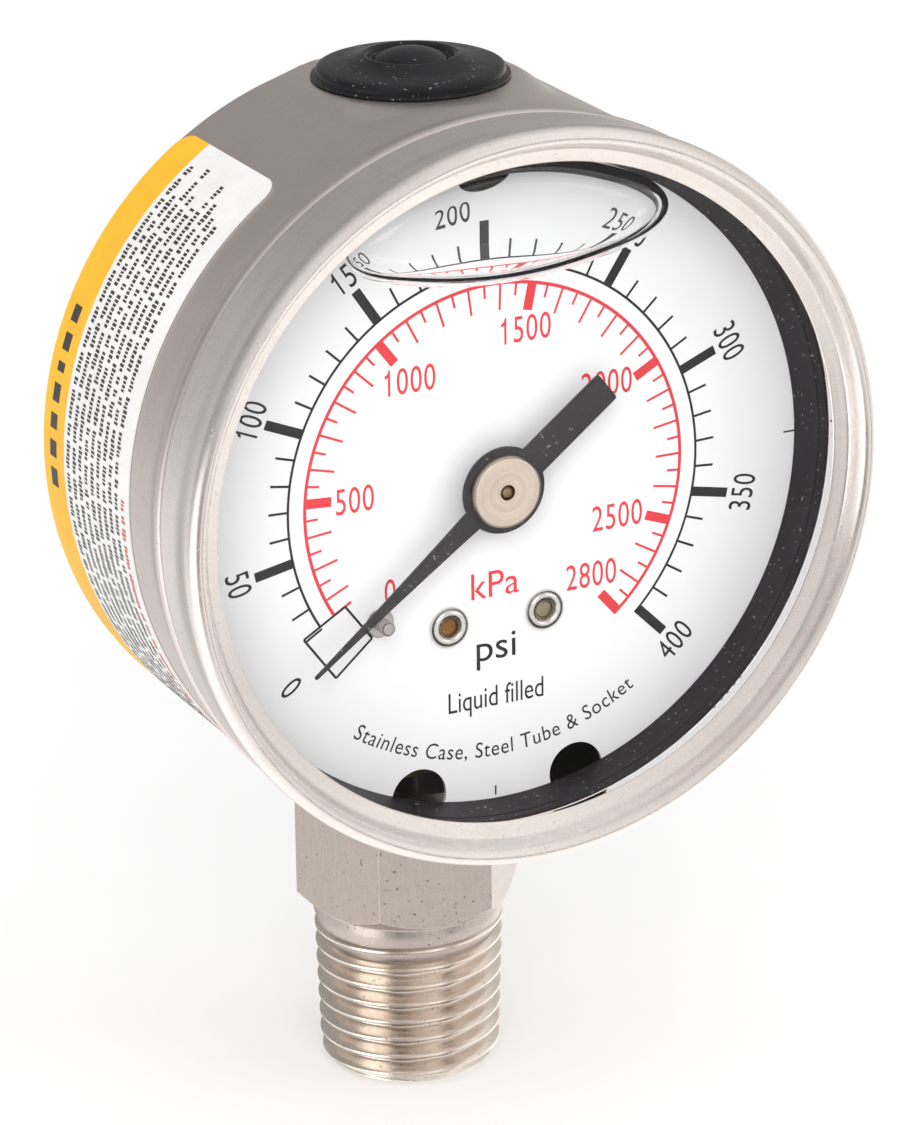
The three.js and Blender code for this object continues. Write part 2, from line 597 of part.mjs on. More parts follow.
function socketThread() {
  const overlapZ = HEX_BOTTOM_Z + 0.5;
  const profile = [[0, overlapZ], [7.0, overlapZ], [7.0, THREAD_TOP_Z]];
  const rows = Math.floor((THREAD_TOP_Z - THREAD_END_Z - 0.7) / THREAD_PITCH);
  for (let k = 0; k < rows; k++) {
    const z = THREAD_TOP_Z - (k + 0.5) * THREAD_PITCH;
    const radius = THREAD_TOP_R - (THREAD_TOP_Z - z) / 32;
    profile.push([radius - THREAD_DEPTH, z], [radius - 0.02, z - THREAD_PITCH / 2]);
  }
  profile.push([5.9, THREAD_END_Z], [0, THREAD_END_Z]);
  return revolveZ(profile, 28, AXIS_X, SOCKET_Y);
}
function socketBlock() {
  const left = AXIS_X - 8;
  const right = AXIS_X + 8;
  const bottomZ = -25.5;
  const topZ = -15;
  const outline = [[left, bottomZ], [right, bottomZ], [right, topZ], [left, topZ]];
  return common(plate(outline, -11.1, -1.0), rodZ(NECK_R, -26, -14, 28));
}
function socket() {
  const neck = rodZ(NECK_R, HEX_TOP_Z - 0.5, -24.2, 28);
  // cross passage along X, from the upright channel towards the tube
  const port = mapPoints(revolve(rod(CHANNEL_R, AXIS_X - 5.9, AXIS_X + 0.6), 12),
    ([a, b, height]) => [height, TUBE_Y + a, -17.9 + b]);
  return cut(join(socketHex(), socketThread(), neck, socketBlock()),
    rodZ(BORE_R, -52, -21.5, 24),
    rodZ(CHANNEL_R, -22, -17.5, 12, AXIS_X, SOCKET_Y - 0.6),
    port,
    tubeSweep(TUBE_START - 1, TUBE_START + 14, 4, TUBE_HALF_R + 0.07, TUBE_HALF_Y + 0.07),
    ...bothSides(side => rodY(0.75, -12, -7.8, 12, plateScrewAt(side))),
    ...bothSides(side => rodY(1.08, -4.6, 0, 16, caseScrewAt(side))));
}
add('socket', socket(), MATERIALS.socket);

// Ring round the neck, its top shaped to the outside of the case.
const SEAL_PROFILE = pipe(NECK_HOLE_R, NECK_R + 1.5, HEX_TOP_Z + 0.03, -23.5);
add('socket_seal', cut(
  revolveZ(SEAL_PROFILE, 32, AXIS_X, SOCKET_Y),
  rodY(CASE_R + 0.1, -30, 5, 72),
), MATERIALS.seal);

// ---- fill plug; profiles are [radius, z] ----
function fillPlug() {
  const cap = revolveZ([
    [0, 27.3], [1.3, 27.15], [2.5, 26.7], [2.75, 26.5], [2.95, 26.75], [3.2, 26.95],
    [3.6, 26.85], [4.6, 26.5], [6.35, 26.2], [6.6, 25.95], [6.62, 25.62],
    [PLUG_R, 25.58], [PLUG_R, SEAT_Z + 0.05], [0, SEAT_Z + 0.05],
  ], 28, 0, PLUG_Y);
  const stem = revolveZ([
    [0, 26.0], [5.5, 26.0], [5.5, 24.3], [5.3, 24.0], [5.45, 23.6],
    [4.9, 22.9], [3.6, 22.9], [3.4, 24.6], [0, 24.6],
  ], 28, 0, PLUG_Y);
  return join(cap, stem);
}
add('fill_plug', fillPlug(), MATERIALS.plug);

// ---- label on the left side of the case ----
function sideLabel() {
  const sections = [];
  for (let k = 0; k <= LABEL_STEPS; k++) {
    const angle = LABEL_FROM + (LABEL_TO - LABEL_FROM) * k / LABEL_STEPS;
    const corner = k === 0 || k === LABEL_STEPS ? LABEL_CORNER : 0;
    const [x0, z0] = clockPoint(CASE_R + 0.03, angle, CENTRE);
    const [x1, z1] = clockPoint(CASE_R + 0.13, angle, CENTRE);
    const backY = LABEL_BACK_Y - corner;
    const frontY = LABEL_FRONT_Y + corner;
    sections.push([[x0, backY, z0], [x1, backY, z1], [x1, frontY, z1], [x0, frontY, z0]]);
  }
  return loft(sections);
}
add('side_label', sideLabel(), MATERIALS.label);

export default group;
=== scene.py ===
"""Liquid-filled pressure gauge with a threaded socket below, on a pale floor.

Lengths are in mm and turn into metres where a mesh is made. The case axis runs along Y
through x = z = 0. The rear wall lies at y = 0 and the dial faces -Y, with +X to its right
and +Z up. Dial angles are degrees clockwise from +Z, as seen from the front.
"""
import math
import random

import bmesh
import bpy
from mathutils import Matrix, Vector


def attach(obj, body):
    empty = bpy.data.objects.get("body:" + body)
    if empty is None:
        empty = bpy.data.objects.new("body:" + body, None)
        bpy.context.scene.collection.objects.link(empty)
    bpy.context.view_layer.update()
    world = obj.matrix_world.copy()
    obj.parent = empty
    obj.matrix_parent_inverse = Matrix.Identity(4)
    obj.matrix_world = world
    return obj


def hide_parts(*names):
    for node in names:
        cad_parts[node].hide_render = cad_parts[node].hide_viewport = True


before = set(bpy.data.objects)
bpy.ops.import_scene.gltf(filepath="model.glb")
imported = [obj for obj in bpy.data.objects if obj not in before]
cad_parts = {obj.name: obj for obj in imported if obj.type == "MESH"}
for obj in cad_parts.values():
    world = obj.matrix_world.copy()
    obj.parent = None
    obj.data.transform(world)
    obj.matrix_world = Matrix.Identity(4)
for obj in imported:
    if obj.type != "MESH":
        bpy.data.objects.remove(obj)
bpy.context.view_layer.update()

scene = bpy.context.scene
MM = 0.001
DEG = math.pi / 180

# ---------------------------------------------------------------- sizes shared by several pieces
PX, PZ = -0.708, -0.314        # pointer axis, x and z
CASE_R = 25.57
CORNER_R = 1.15                # rounding between barrel and rear wall
DIAL_Y = -18.74                # printed face
DIAL_R = 24.3
LENS_FRONT_Y, LENS_BACK_Y = -25.82, -22.22
SOCKET_Y = -6.63               # vertical axis of the socket, at x = PX
PLUG_Y = -7.69                 # vertical axis of the fill plug, at x = 0
POINTER_ANGLE = -127.8
EYELET_X, EYELET_Z = 3.69, PZ - 9.8    # eyelets sit at PX -/+ EYELET_X
STOP = (PX + 12.38 * math.sin(-133.6 * DEG), PZ + 12.38 * math.cos(-133.6 * DEG))
LABEL_START, LABEL_END = -147.0, -33.0     # angles round the case
LABEL_R = CASE_R + 0.12
LABEL_LENGTH = (LABEL_END - LABEL_START) * DEG * LABEL_R


# ---------------------------------------------------------------- shader nodes
class Shader:
    """Adds nodes to the tree of a material or world. Values are numbers or output sockets."""

    def __init__(self, block):
        block.use_nodes = True
        self.tree = block.node_tree

    def fill(self, node, inputs):
        for key, value in inputs.items():
            if isinstance(value, bpy.types.NodeSocket):
                self.tree.links.new(value, node.inputs[key])
            else:
                node.inputs[key].default_value = value

    def node(self, kind, inputs=None, **settings):
        node = self.tree.nodes.new(kind)
        for key, value in settings.items():
            setattr(node, key, value)
        self.fill(node, inputs or {})
        return node

    def calc(self, operation, a, b=0.0, clamp=False):
        return self.node("ShaderNodeMath", {0: a, 1: b, 2: 0.0}, operation=operation,
                         use_clamp=clamp).outputs[0]

    def noise(self, coords, scale, detail, rough, w=None):
        inputs = {"Vector": coords, "Scale": scale, "Detail": detail, "Roughness": rough}
        if w is not None:
            inputs["W"] = w
        return self.node("ShaderNodeTexNoise", inputs,
                         noise_dimensions="3D" if w is None else "4D").outputs["Fac"]

    def ramp(self, fac, span, to):
        """Grey ramp from to[0] at span[0] up to to[1] at span[1]."""
        node = self.node("ShaderNodeValToRGB", {"Fac": fac})
        for element, position, level in zip(node.color_ramp.elements, span, to):
            element.position = position
            element.color = (level, level, level, 1)
        return node.outputs["Color"]

    def remap(self, value, span, to=(0.0, 1.0), smooth=False):
        return self.node("ShaderNodeMapRange",
                         {0: value, 1: span[0], 2: span[1], 3: to[0], 4: to[1]},
                         interpolation_type="SMOOTHSTEP" if smooth else "LINEAR").outputs[0]

    def mask(self, value, span, amount):
        """0 to amount, rising smoothly over span."""
        return self.calc("MULTIPLY", self.remap(value, span, smooth=True), amount)

    def mix(self, fac, a, b, blend="MIX"):
        a, b = (c if isinstance(c, bpy.types.NodeSocket) else (*c, 1) for c in (a, b))
        return self.node("ShaderNodeMix", {0: fac, 6: a, 7: b}, data_type="RGBA",
                         blend_type=blend).outputs[2]

    def shade(self, color, fac, span, to):
        """Colour multiplied by a grey ramp."""
        return self.mix(1.0, color, self.ramp(fac, span, to), "MULTIPLY")

    def coords(self, kind="Object"):
        return self.node("ShaderNodeTexCoord").outputs[kind]

    def bump(self, height, strength, depth, under=None):
        """Bump of the main surface, depth in mm, laid over an earlier one."""
        inputs = {"Strength": strength, "Distance": depth * MM, "Height": height}
        if under is not None:
            inputs["Normal"] = under
        normal = self.node("ShaderNodeBump", inputs).outputs[0]
        self.fill(self.surface, {"Normal": normal})
        return normal


def principled(name):
    material = bpy.data.materials.new(name)
    sh = Shader(material)
    sh.surface = sh.tree.nodes["Principled BSDF"]
    return material, sh, sh.coords()


def emptied(block, output_kind):
    """Shader of a block whose tree holds nothing but a new output."""
    sh = Shader(block)
    sh.tree.nodes.clear()
    return sh, sh.node(output_kind)


# ---------------------------------------------------------------- materials
def turned(sh, coords, center, axis, around, along):
    """Noise vector and W that vary slowly round a turned axis, fast along it and with radius."""
    x, y, z = sh.node("ShaderNodeSeparateXYZ", {0: coords}).outputs
    across, height = (z, y) if axis == "Y" else (y, z)
    p = sh.calc("SUBTRACT", x, center[0] * MM)
    q = sh.calc("SUBTRACT", across, center[1] * MM)
    squares = sh.calc("ADD", sh.calc("MULTIPLY", p, p), sh.calc("MULTIPLY", q, q))
    radius = sh.calc("SQRT", squares)
    vector = sh.node("ShaderNodeCombineXYZ", {
        0: sh.calc("MULTIPLY", p, around), 1: sh.calc("MULTIPLY", q, around),
        2: sh.calc("MULTIPLY", height, along)})
    return vector.outputs[0], sh.calc("MULTIPLY", radius, along)


def steel(name, color, rough, center=(0.0, 0.0), axis="Y", around=55.0, along=7000.0,
          streak=0.35, streak_depth=0.006, streak_tone=0.10, grain=0.4, grain_depth=0.005,
          stain=0.25, pits=0.0, rough_spread=0.12):
    """Machined metal: tool streaks round an axis, fine grain, warm stains and dark pits."""
    material, sh, co = principled(name)
    vector, w = turned(sh, co, center, axis, around, along)
    streaks = sh.noise(vector, scale=1.0, detail=4.0, rough=0.6, w=w)
    grains = sh.noise(co, scale=9000.0, detail=2.0, rough=0.6)
    stains = sh.noise(co, scale=190.0, detail=4.0, rough=0.6)
    wear = sh.noise(co, scale=1100.0, detail=3.0, rough=0.6)
    warm = (0.50, 0.42, 0.37)
    color = sh.mix(sh.mask(stains, span=(0.38, 0.72), amount=stain), color, warm)
    color = sh.shade(color, streaks, span=(0.25, 0.75),
                     to=(1.0 - streak_tone, 1.0 + streak_tone * 0.5))
    color = sh.shade(color, grains, span=(0.25, 0.75), to=(0.88, 1.08))
    if pits:
        spots = sh.noise(co, scale=2600.0, detail=2.0, rough=0.5)
        pitted = sh.remap(spots, span=(0.66, 0.74), smooth=True)
        dark = (0.16, 0.13, 0.105)
        color = sh.mix(sh.calc("MULTIPLY", pitted, pits), color, dark)
    base = sh.remap(wear, span=(0.25, 0.75),
                    to=(rough - rough_spread / 2, rough + rough_spread / 2))
    swing = sh.calc("MULTIPLY", sh.calc("SUBTRACT", streaks, 0.5), 0.10)
    sh.fill(sh.surface, {"Base Color": color, "Metallic": 1.0,
                         "Roughness": sh.calc("ADD", base, swing, clamp=True)})
    normal = sh.bump(streaks, streak, streak_depth)
    normal = sh.bump(grains, grain, grain_depth, normal)
    if pits:
        sh.bump(sh.calc("MULTIPLY", pitted, -1.0), strength=0.6, depth=0.02, under=normal)
    return material


def rubber(name, color, rough, specks, specular):
    material, sh, co = principled(name)
    fine = sh.noise(co, scale=5200.0, detail=3.0, rough=0.6)
    clouds = sh.noise(co, scale=420.0, detail=4.0, rough=0.6)
    dust = sh.mask(sh.noise(co, scale=3400.0, detail=1.0, rough=0.4),
                   span=(0.70, 0.76), amount=specks)
    lighter = (color[0] * 1.9, color[1] * 1.9, color[2] * 1.95)
    dust_color = (0.30, 0.29, 0.27)
    base = sh.mix(sh.remap(clouds, span=(0.3, 0.7)), color, lighter)
    dull = sh.calc("ADD", sh.remap(clouds, span=(0.3, 0.7), to=(rough - 0.09, rough + 0.11)),
                   sh.calc("MULTIPLY", dust, 0.4), clamp=True)
    sh.fill(sh.surface, {"Base Color": sh.mix(dust, base, dust_color), "Roughness": dull,
                         "Specular IOR Level": specular})
    normal = sh.bump(fine, strength=0.30, depth=0.012)
    sh.bump(dust, strength=0.5, depth=0.02, under=normal)
    return material


def paint(name, color, rough, variation, grain, specks=0.0, speck_color=None):
    material, sh, co = principled(name)
    clouds = sh.noise(co, scale=160.0, detail=3.0, rough=0.55)
    fine = sh.noise(co, scale=6500.0, detail=2.0, rough=0.6)
    color = sh.shade(color, clouds, span=(0.3, 0.7), to=(1.0 - variation, 1.0))
    color = sh.shade(color, fine, span=(0.25, 0.75), to=(1.0 - variation * 0.7, 1.0))
    if specks:
        dust = sh.noise(co, scale=2900.0, detail=1.5, rough=0.5)
        color = sh.mix(sh.mask(dust, span=(0.69, 0.75), amount=specks), color, speck_color)
    sh.fill(sh.surface, {"Base Color": color, "Roughness": sh.remap(
        fine, span=(0.25, 0.75), to=(rough - 0.06, rough + 0.06))})
    sh.bump(fine, grain, depth=0.006)
    return material


def brass(name, color, rough, stain=0.35):
    """Yellow metal with brown stains and streaks that run along X."""
    material, sh, co = principled(name)
    stains = sh.noise(co, scale=420.0, detail=4.0, rough=0.6)
    stretched = sh.node("ShaderNodeMapping", {"Vector": co, "Scale": (900.0, 9000.0, 9000.0)})
    streaks = sh.noise(stretched.outputs[0], scale=1.0, detail=3.0, rough=0.6)
    brown = (color[0] * 0.45, color[1] * 0.36, color[2] * 0.25)
    color = sh.mix(sh.mask(stains, span=(0.4, 0.75), amount=stain), color, brown)
    color = sh.shade(color, streaks, span=(0.3, 0.7), to=(0.82, 1.05))
    sh.fill(sh.surface, {"Base Color": color, "Metallic": 1.0, "Roughness": sh.remap(
        stains, span=(0.3, 0.7), to=(rough - 0.08, rough + 0.12))})
    sh.bump(streaks, strength=0.25, depth=0.006)
    return material


def glass(name, ior):
    """Clear solid. Shadow and diffuse rays pass straight, so what lies behind is lit cleanly."""
    material = bpy.data.materials.new(name)
    sh, output = emptied(material, "ShaderNodeOutputMaterial")
    smears = sh.noise(sh.coords(), scale=90.0, detail=4.0, rough=0.6)
    white, smeared = (1.0, 1.0, 1.0), (0.985, 0.99, 0.985)
    color = sh.mix(sh.remap(smears, span=(0.3, 0.7)), white, smeared)
    solid = sh.node("ShaderNodeBsdfGlass", {"Color": color, "Roughness": 0.0, "IOR": ior})
    straight = sh.node("ShaderNodeBsdfTransparent", {"Color": (1, 1, 1, 1)})
    rays = sh.node("ShaderNodeLightPath").outputs
    passing = sh.calc("MAXIMUM", rays["Is Shadow Ray"], rays["Is Diffuse Ray"])
    mixed = sh.node("ShaderNodeMixShader",
                    {0: passing, 1: solid.outputs[0], 2: straight.outputs[0]})
    sh.fill(output, {0: mixed.outputs[0]})
    return material


def clear(name):
    """Unseen contact face between two clear materials of the same index."""
    material = bpy.data.materials.new(name)
    sh, output = emptied(material, "ShaderNodeOutputMaterial")
    straight = sh.node("ShaderNodeBsdfTransparent", {"Color": (1, 1, 1, 1)})
    sh.fill(output, {0: straight.outputs[0]})
    return material


def label_film(name):
    """Printed film: a yellow band beside the rear edge, white in front of it."""
    material, sh, co = principled(name)
    y = sh.node("ShaderNodeSeparateXYZ", {0: co}).outputs[1]
    wobble = sh.noise(co, scale=700.0, detail=2.0, rough=0.5)
    y = sh.calc("ADD", y, sh.calc("MULTIPLY", sh.calc("SUBTRACT", wobble, 0.5), 0.00004))
    band = sh.remap(y, span=(-4.68 * MM, -4.64 * MM))
    fine = sh.noise(co, scale=5200.0, detail=2.0, rough=0.6)
    clouds = sh.noise(co, scale=260.0, detail=3.0, rough=0.6)
    tones = [((0.90, 0.895, 0.885), (0.82, 0.815, 0.80)),     # white, clean and dull
             ((0.965, 0.53, 0.006), (0.91, 0.46, 0.006))]     # yellow, clean and dull
    white, yellow = (sh.mix(sh.remap(clouds, span=(0.35, 0.7)), *pair) for pair in tones)
    color = sh.shade(sh.mix(band, white, yellow), fine, span=(0.25, 0.75), to=(0.93, 1.0))
    sh.fill(sh.surface, {"Base Color": color, "Roughness": sh.remap(
        fine, span=(0.25, 0.75), to=(0.36, 0.50))})
    sh.bump(clouds, strength=0.25, depth=0.03)
    return material


CASE_STEEL = steel(
    "case_satin_steel", color=(0.665, 0.60, 0.58), rough=0.40, streak=0.12, grain=0.75,
    stain=0.10, around=90, along=5200, grain_depth=0.009, streak_tone=0.05,
    rough_spread=0.08, pits=0.12)
BEZEL_STEEL = steel(
    "bezel_satin_steel", color=(0.79, 0.735, 0.695), rough=0.30, streak=0.14, grain=0.65,
    stain=0.10, around=80, along=6500, rough_spread=0.10, streak_depth=0.005,
    grain_depth=0.007, streak_tone=0.06, pits=0.10)
SOCKET_STEEL = steel(
    "socket_machined_steel", color=(0.48, 0.42, 0.39), rough=0.33, center=(PX, SOCKET_Y),
    axis="Z", grain=0.7, stain=0.14, around=9000, along=600, pits=0.75, streak_tone=0.12,
    rough_spread=0.08)
# Lighter steel for the bevelled hex edges: partly real wear, partly a painted highlight that
# makes the corners catch light.
EDGE_WEAR_AND_HIGHLIGHT_STEEL = steel(
    "hex_edge_wear_and_painted_highlight", color=(0.95, 0.90, 0.86), rough=0.50, center=(PX, SOCKET_Y),
    axis="Z", streak=0.2, grain=0.6, stain=0.05, around=5000, along=900, streak_tone=0.15)
THREAD_STEEL = steel(
    "thread_machined_steel", color=(0.80, 0.715, 0.64), rough=0.22, center=(PX, SOCKET_Y),
    axis="Z", grain=0.5, stain=0.30, around=70, along=6000, pits=0.35, streak_tone=0.12)
RUBBER = rubber("black_rubber_moulded", color=(0.009, 0.0085, 0.0095), rough=0.30,
                specks=0.55, specular=0.14)
GASKET_RUBBER = rubber("gasket_rubber", color=(0.013, 0.011, 0.0125), rough=0.45,
                       specks=0.75, specular=0.25)
ENAMEL = paint("dial_white_enamel", color=(0.905, 0.898, 0.91), rough=0.42, variation=0.03,
               grain=0.15, specks=0.10, speck_color=(0.55, 0.54, 0.56))
BLACK_INK = paint("dial_ink_black", color=(0.018, 0.016, 0.018), rough=0.45,
                  variation=0.25, grain=0.1)
RED_INK = paint("dial_ink_red", color=(0.84, 0.045, 0.06), rough=0.45,
                variation=0.12, grain=0.1)
POINTER_PAINT = paint("pointer_satin_black", color=(0.034, 0.031, 0.034), rough=0.42,
                      variation=0.3, grain=0.25, specks=0.55, speck_color=(0.34, 0.33, 0.33))
HUB_NICKEL = steel(
    "hub_turned_nickel", color=(0.80, 0.68, 0.57), rough=0.36, center=(PX, PZ), streak=0.7,
    grain=0.6, stain=0.20, around=90, along=9500, rough_spread=0.10, streak_tone=0.22)
PIN_STEEL = steel("stop_pin_steel", color=(0.52, 0.50, 0.49), rough=0.38, stain=0.3,
                  around=400, along=6000)
SHAFT_BRONZE = brass("shaft_end_bronze", color=(0.40, 0.27, 0.15), rough=0.45)
EYELET_NICKEL = steel("eyelet_nickel", color=(0.70, 0.68, 0.64), rough=0.24,
                      around=500, along=4000)
BROWN_CORE = brass("eyelet_core_brown", color=(0.42, 0.22, 0.09), rough=0.46, stain=0.6)
BRASS_CORE = brass("eyelet_core_brass", color=(0.50, 0.45, 0.30), rough=0.42, stain=0.5)
BRASS = brass("movement_brass_stamped", color=(0.66, 0.53, 0.28), rough=0.36)
BRONZE = brass("hairspring_bronze", color=(0.70, 0.55, 0.32), rough=0.28)
SMALL_STEEL = steel("small_parts_steel", color=(0.60, 0.59, 0.57), rough=0.32, stain=0.2,
                    around=400, along=5000)
TUBE_STEEL = steel("tube_drawn_steel", color=(0.62, 0.60, 0.57), rough=0.34,
                   center=(PX, PZ), around=80, along=3000)
LENS = glass("lens_clear", ior=1.48)
AIR = glass("air_bubble_surface", ior=1 / 1.475)
CLEAR = clear("clear_contact")
LABEL_FILM = label_film("label_printed_film")
GREY_PRINT = paint("label_print_grey", color=(0.055, 0.052, 0.05), rough=0.5,
                   variation=0.35, grain=0.1)
RED_PRINT = paint("label_print_red", color=(0.72, 0.10, 0.06), rough=0.5,
                  variation=0.25, grain=0.1)


# ---------------------------------------------------------------- outlines
def polar(radius, angle):
    """Point at a dial angle: right, up."""
    return radius * math.sin(angle * DEG), radius * math.cos(angle * DEG)


def circle(cx, cz, radius, count):
    angles = [2 * math.pi * i / count for i in range(count)]
    return [(cx + radius * math.sin(a), cz + radius * math.cos(a)) for a in angles]


def quarter(cu, cv, radius, step, u_side=1, v_side=1):
    """Quarter circle that starts on the v side of its centre and ends on the u side."""
    points = [polar(radius, angle) for angle in range(0, 91, step)]
    return [(cu + u_side * u, cv + v_side * v) for u, v in points]


def curve(points, sub):
    """Catmull-Rom curve through the points, sub steps to a span."""
    out = []
    last = len(points) - 1
    for i in range(last):
        ends = points[max(i - 1, 0)], points[i], points[i + 1], points[min(i + 2, last)]
        for k in range(sub):
            t = k / sub
            out.append(tuple(
                0.5 * (2 * b + (c - a) * t + (2 * a - 5 * b + 4 * c - d) * t * t
                       + (3 * b - a - 3 * c + d) * t ** 3)
                for a, b, c, d in zip(*ends)))
    out.append(points[-1])
    return out


# ---------------------------------------------------------------- meshes
def place(mesh, replaces=None, body="housing"):
    """Object named after its mesh, riding on a body."""
    ob = bpy.data.objects.new(mesh.name, mesh)
    scene.collection.objects.link(ob)
    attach(ob, body)
    if replaces:
        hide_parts(replaces)
    return ob


def shade_smooth(mesh, sharp):
    mesh.polygons.foreach_set("use_smooth", [True] * len(mesh.polygons))
    mesh.set_sharp_from_angle(angle=sharp * DEG)


def tidy(mesh, sharp, merge=0.00004):
    """Weld, turn normals outward and shade smooth below the sharp angle."""
    bm = bmesh.new()
    bm.from_mesh(mesh)
    bmesh.ops.remove_doubles(bm, verts=bm.verts, dist=merge * MM)
    bmesh.ops.recalc_face_normals(bm, faces=bm.faces)
    bm.to_mesh(mesh)
    bm.free()
    shade_smooth(mesh, sharp)
    mesh.update()
    return mesh


def make_mesh(name, verts, faces, materials, indices=None, sharp=30.0, merge=0.00004):
    mesh = bpy.data.meshes.new(name)
    mesh.from_pydata([(x * MM, y * MM, z * MM) for x, y, z in verts], [], faces)
    for material in materials:
        mesh.materials.append(material)
    if indices is not None:
        mesh.polygons.foreach_set("material_index", indices)
    return tidy(mesh, sharp, merge)


def band(faces, first, second, count):
    """Quads between two closed rings of vertices."""
    for i in range(count):
        j = (i + 1) % count
        faces.append((first + i, first + j, second + j, second + i))


def sweep_faces(faces, base, stations, size):
    """Closed sections of size vertices joined one after another, both ends capped."""
    for k in range(stations - 1):
        p = base + size * k
        q = p + size
        for i in range(size):
            j = (i + 1) % size
            faces.append((p + i, q + i, q + j, p + j))
    end = base + size * (stations - 1)
    faces.append(tuple(base + i for i in range(size)))
    faces.append(tuple(end + i for i in reversed(range(size))))


def lathe(name, profile, materials, segments, axis="Y", center=(0.0, 0.0), indices=None,
          sharp=30.0, shape=None):
    """Closed profile [(radius, height)] turned about an axis; radius 0 makes a pole.

    indices holds the material of the faces after each profile point, and
    shape(x, y, z, k) may move a vertex of profile point k."""
    verts, faces, face_indices, rings = [], [], [], []
    for k, (radius, height) in enumerate(profile):
        ring = []
        for i in range(1 if radius < 1e-6 else segments):
            angle = 2 * math.pi * i / segments
            u = center[0] + radius * math.sin(angle)
            v = center[1] + radius * math.cos(angle)
            point = (u, height, v) if axis == "Y" else (u, v, height)
            if shape:
                point = shape(*point, k)
            ring.append(len(verts))
            verts.append(point)
        rings.append(ring)
    for k, a in enumerate(rings):
        b = rings[(k + 1) % len(rings)]
        if len(a) == 1 and len(b) == 1:
            continue
        for i in range(segments):
            j = (i + 1) % segments
            if len(a) == 1:
                faces.append((a[0], b[i], b[j]))
            elif len(b) == 1:
                faces.append((a[i], b[0], a[j]))
            else:
                faces.append((a[i], b[i], b[j], a[j]))
            face_indices.append(indices[k] if indices else 0)
    return make_mesh(name, verts, faces, materials, face_indices, sharp)


def curve_mesh(name, data):
    """Mesh of a curve or text; the curve itself is removed."""
    ob = bpy.data.objects.new(name, data)
    scene.collection.objects.link(ob)
    bpy.context.view_layer.update()
    depsgraph = bpy.context.evaluated_depsgraph_get()
    mesh = bpy.data.meshes.new_from_object(ob.evaluated_get(depsgraph))
    bpy.data.objects.remove(ob)
    bpy.data.curves.remove(data)
    return mesh


def flat_plate(name, loops, y0, y1, material, sharp, bevel=0.0):
    """Plate between two Y values, filled between closed outlines [(x, z)]."""
    data = bpy.data.curves.new(name + "_c", "CURVE")
    data.dimensions = "2D"
    data.fill_mode = "BOTH"
    for loop in loops:
        spline = data.splines.new("POLY")
        spline.points.add(len(loop) - 1)
        for point, (x, z) in zip(spline.points, loop):
            point.co = (x, z, 0, 1)
        spline.use_cyclic_u = True
    data.extrude = abs(y1 - y0) / 2 - bevel
    if bevel:
        data.bevel_depth = bevel
        data.bevel_resolution = 2
        data.offset = -bevel
    mesh = curve_mesh(name + "_c", data)
    middle = (y0 + y1) / 2
    for vertex in mesh.vertices:
        x, z, height = vertex.co
        vertex.co = (x * MM, (middle - height) * MM, z * MM)
    mesh.name = name
    mesh.materials.clear()
    mesh.materials.append(material)
    return tidy(mesh, sharp)


def cut(ob, cutter_mesh):
    cutter = bpy.data.objects.new("cutter", cutter_mesh)
    scene.collection.objects.link(cutter)
    modifier = ob.modifiers.new("cut", "BOOLEAN")
    modifier.operation = "DIFFERENCE"
    modifier.solver = "EXACT"
    modifier.object = cutter
    bpy.context.view_layer.update()
    depsgraph = bpy.context.evaluated_depsgraph_get()
    mesh = bpy.data.meshes.new_from_object(ob.evaluated_get(depsgraph))
    ob.modifiers.clear()
    ob.data = mesh
    bpy.data.objects.remove(cutter)


# ---------------------------------------------------------------- print on the dial
def text_mesh(text, spacing=1.0):
    """Vertices and faces of a text of size 1, from z -0.5 to 0.5."""
    data = bpy.data.curves.new("t", "FONT")
    data.body = text
    data.size = 1.0
    data.extrude = 0.5
    data.space_character = spacing
    data.resolution_u = 6
    mesh = curve_mesh("t", data)
    verts = [tuple(vertex.co) for vertex in mesh.vertices]
    faces = [tuple(face.vertices) for face in mesh.polygons]
    bpy.data.meshes.remove(mesh)
    return verts, faces


def extent(verts, axis):
    values = [vert[axis] for vert in verts]
    return min(values), max(values)


# the digit 0 sets the scale of all numbers, the letter L that of all words
ZERO_VERTS = text_mesh("0")[0]
ZERO_LEFT, ZERO_RIGHT = extent(ZERO_VERTS, 0)
ZERO_LOW, ZERO_HIGH = extent(ZERO_VERTS, 1)
CAP_LOW, CAP_HIGH = extent(text_mesh("L")[0], 1)
# outline of the digit 1 in a cell of 1 by 1: across, up
DIGIT_ONE = [
    (0.44, 0.0), (0.64, 0.0), (0.64, 1.0), (0.50, 1.0), (0.45, 0.90),
    (0.34, 0.82), (0.16, 0.775), (0.16, 0.66), (0.32, 0.68), (0.44, 0.73)]


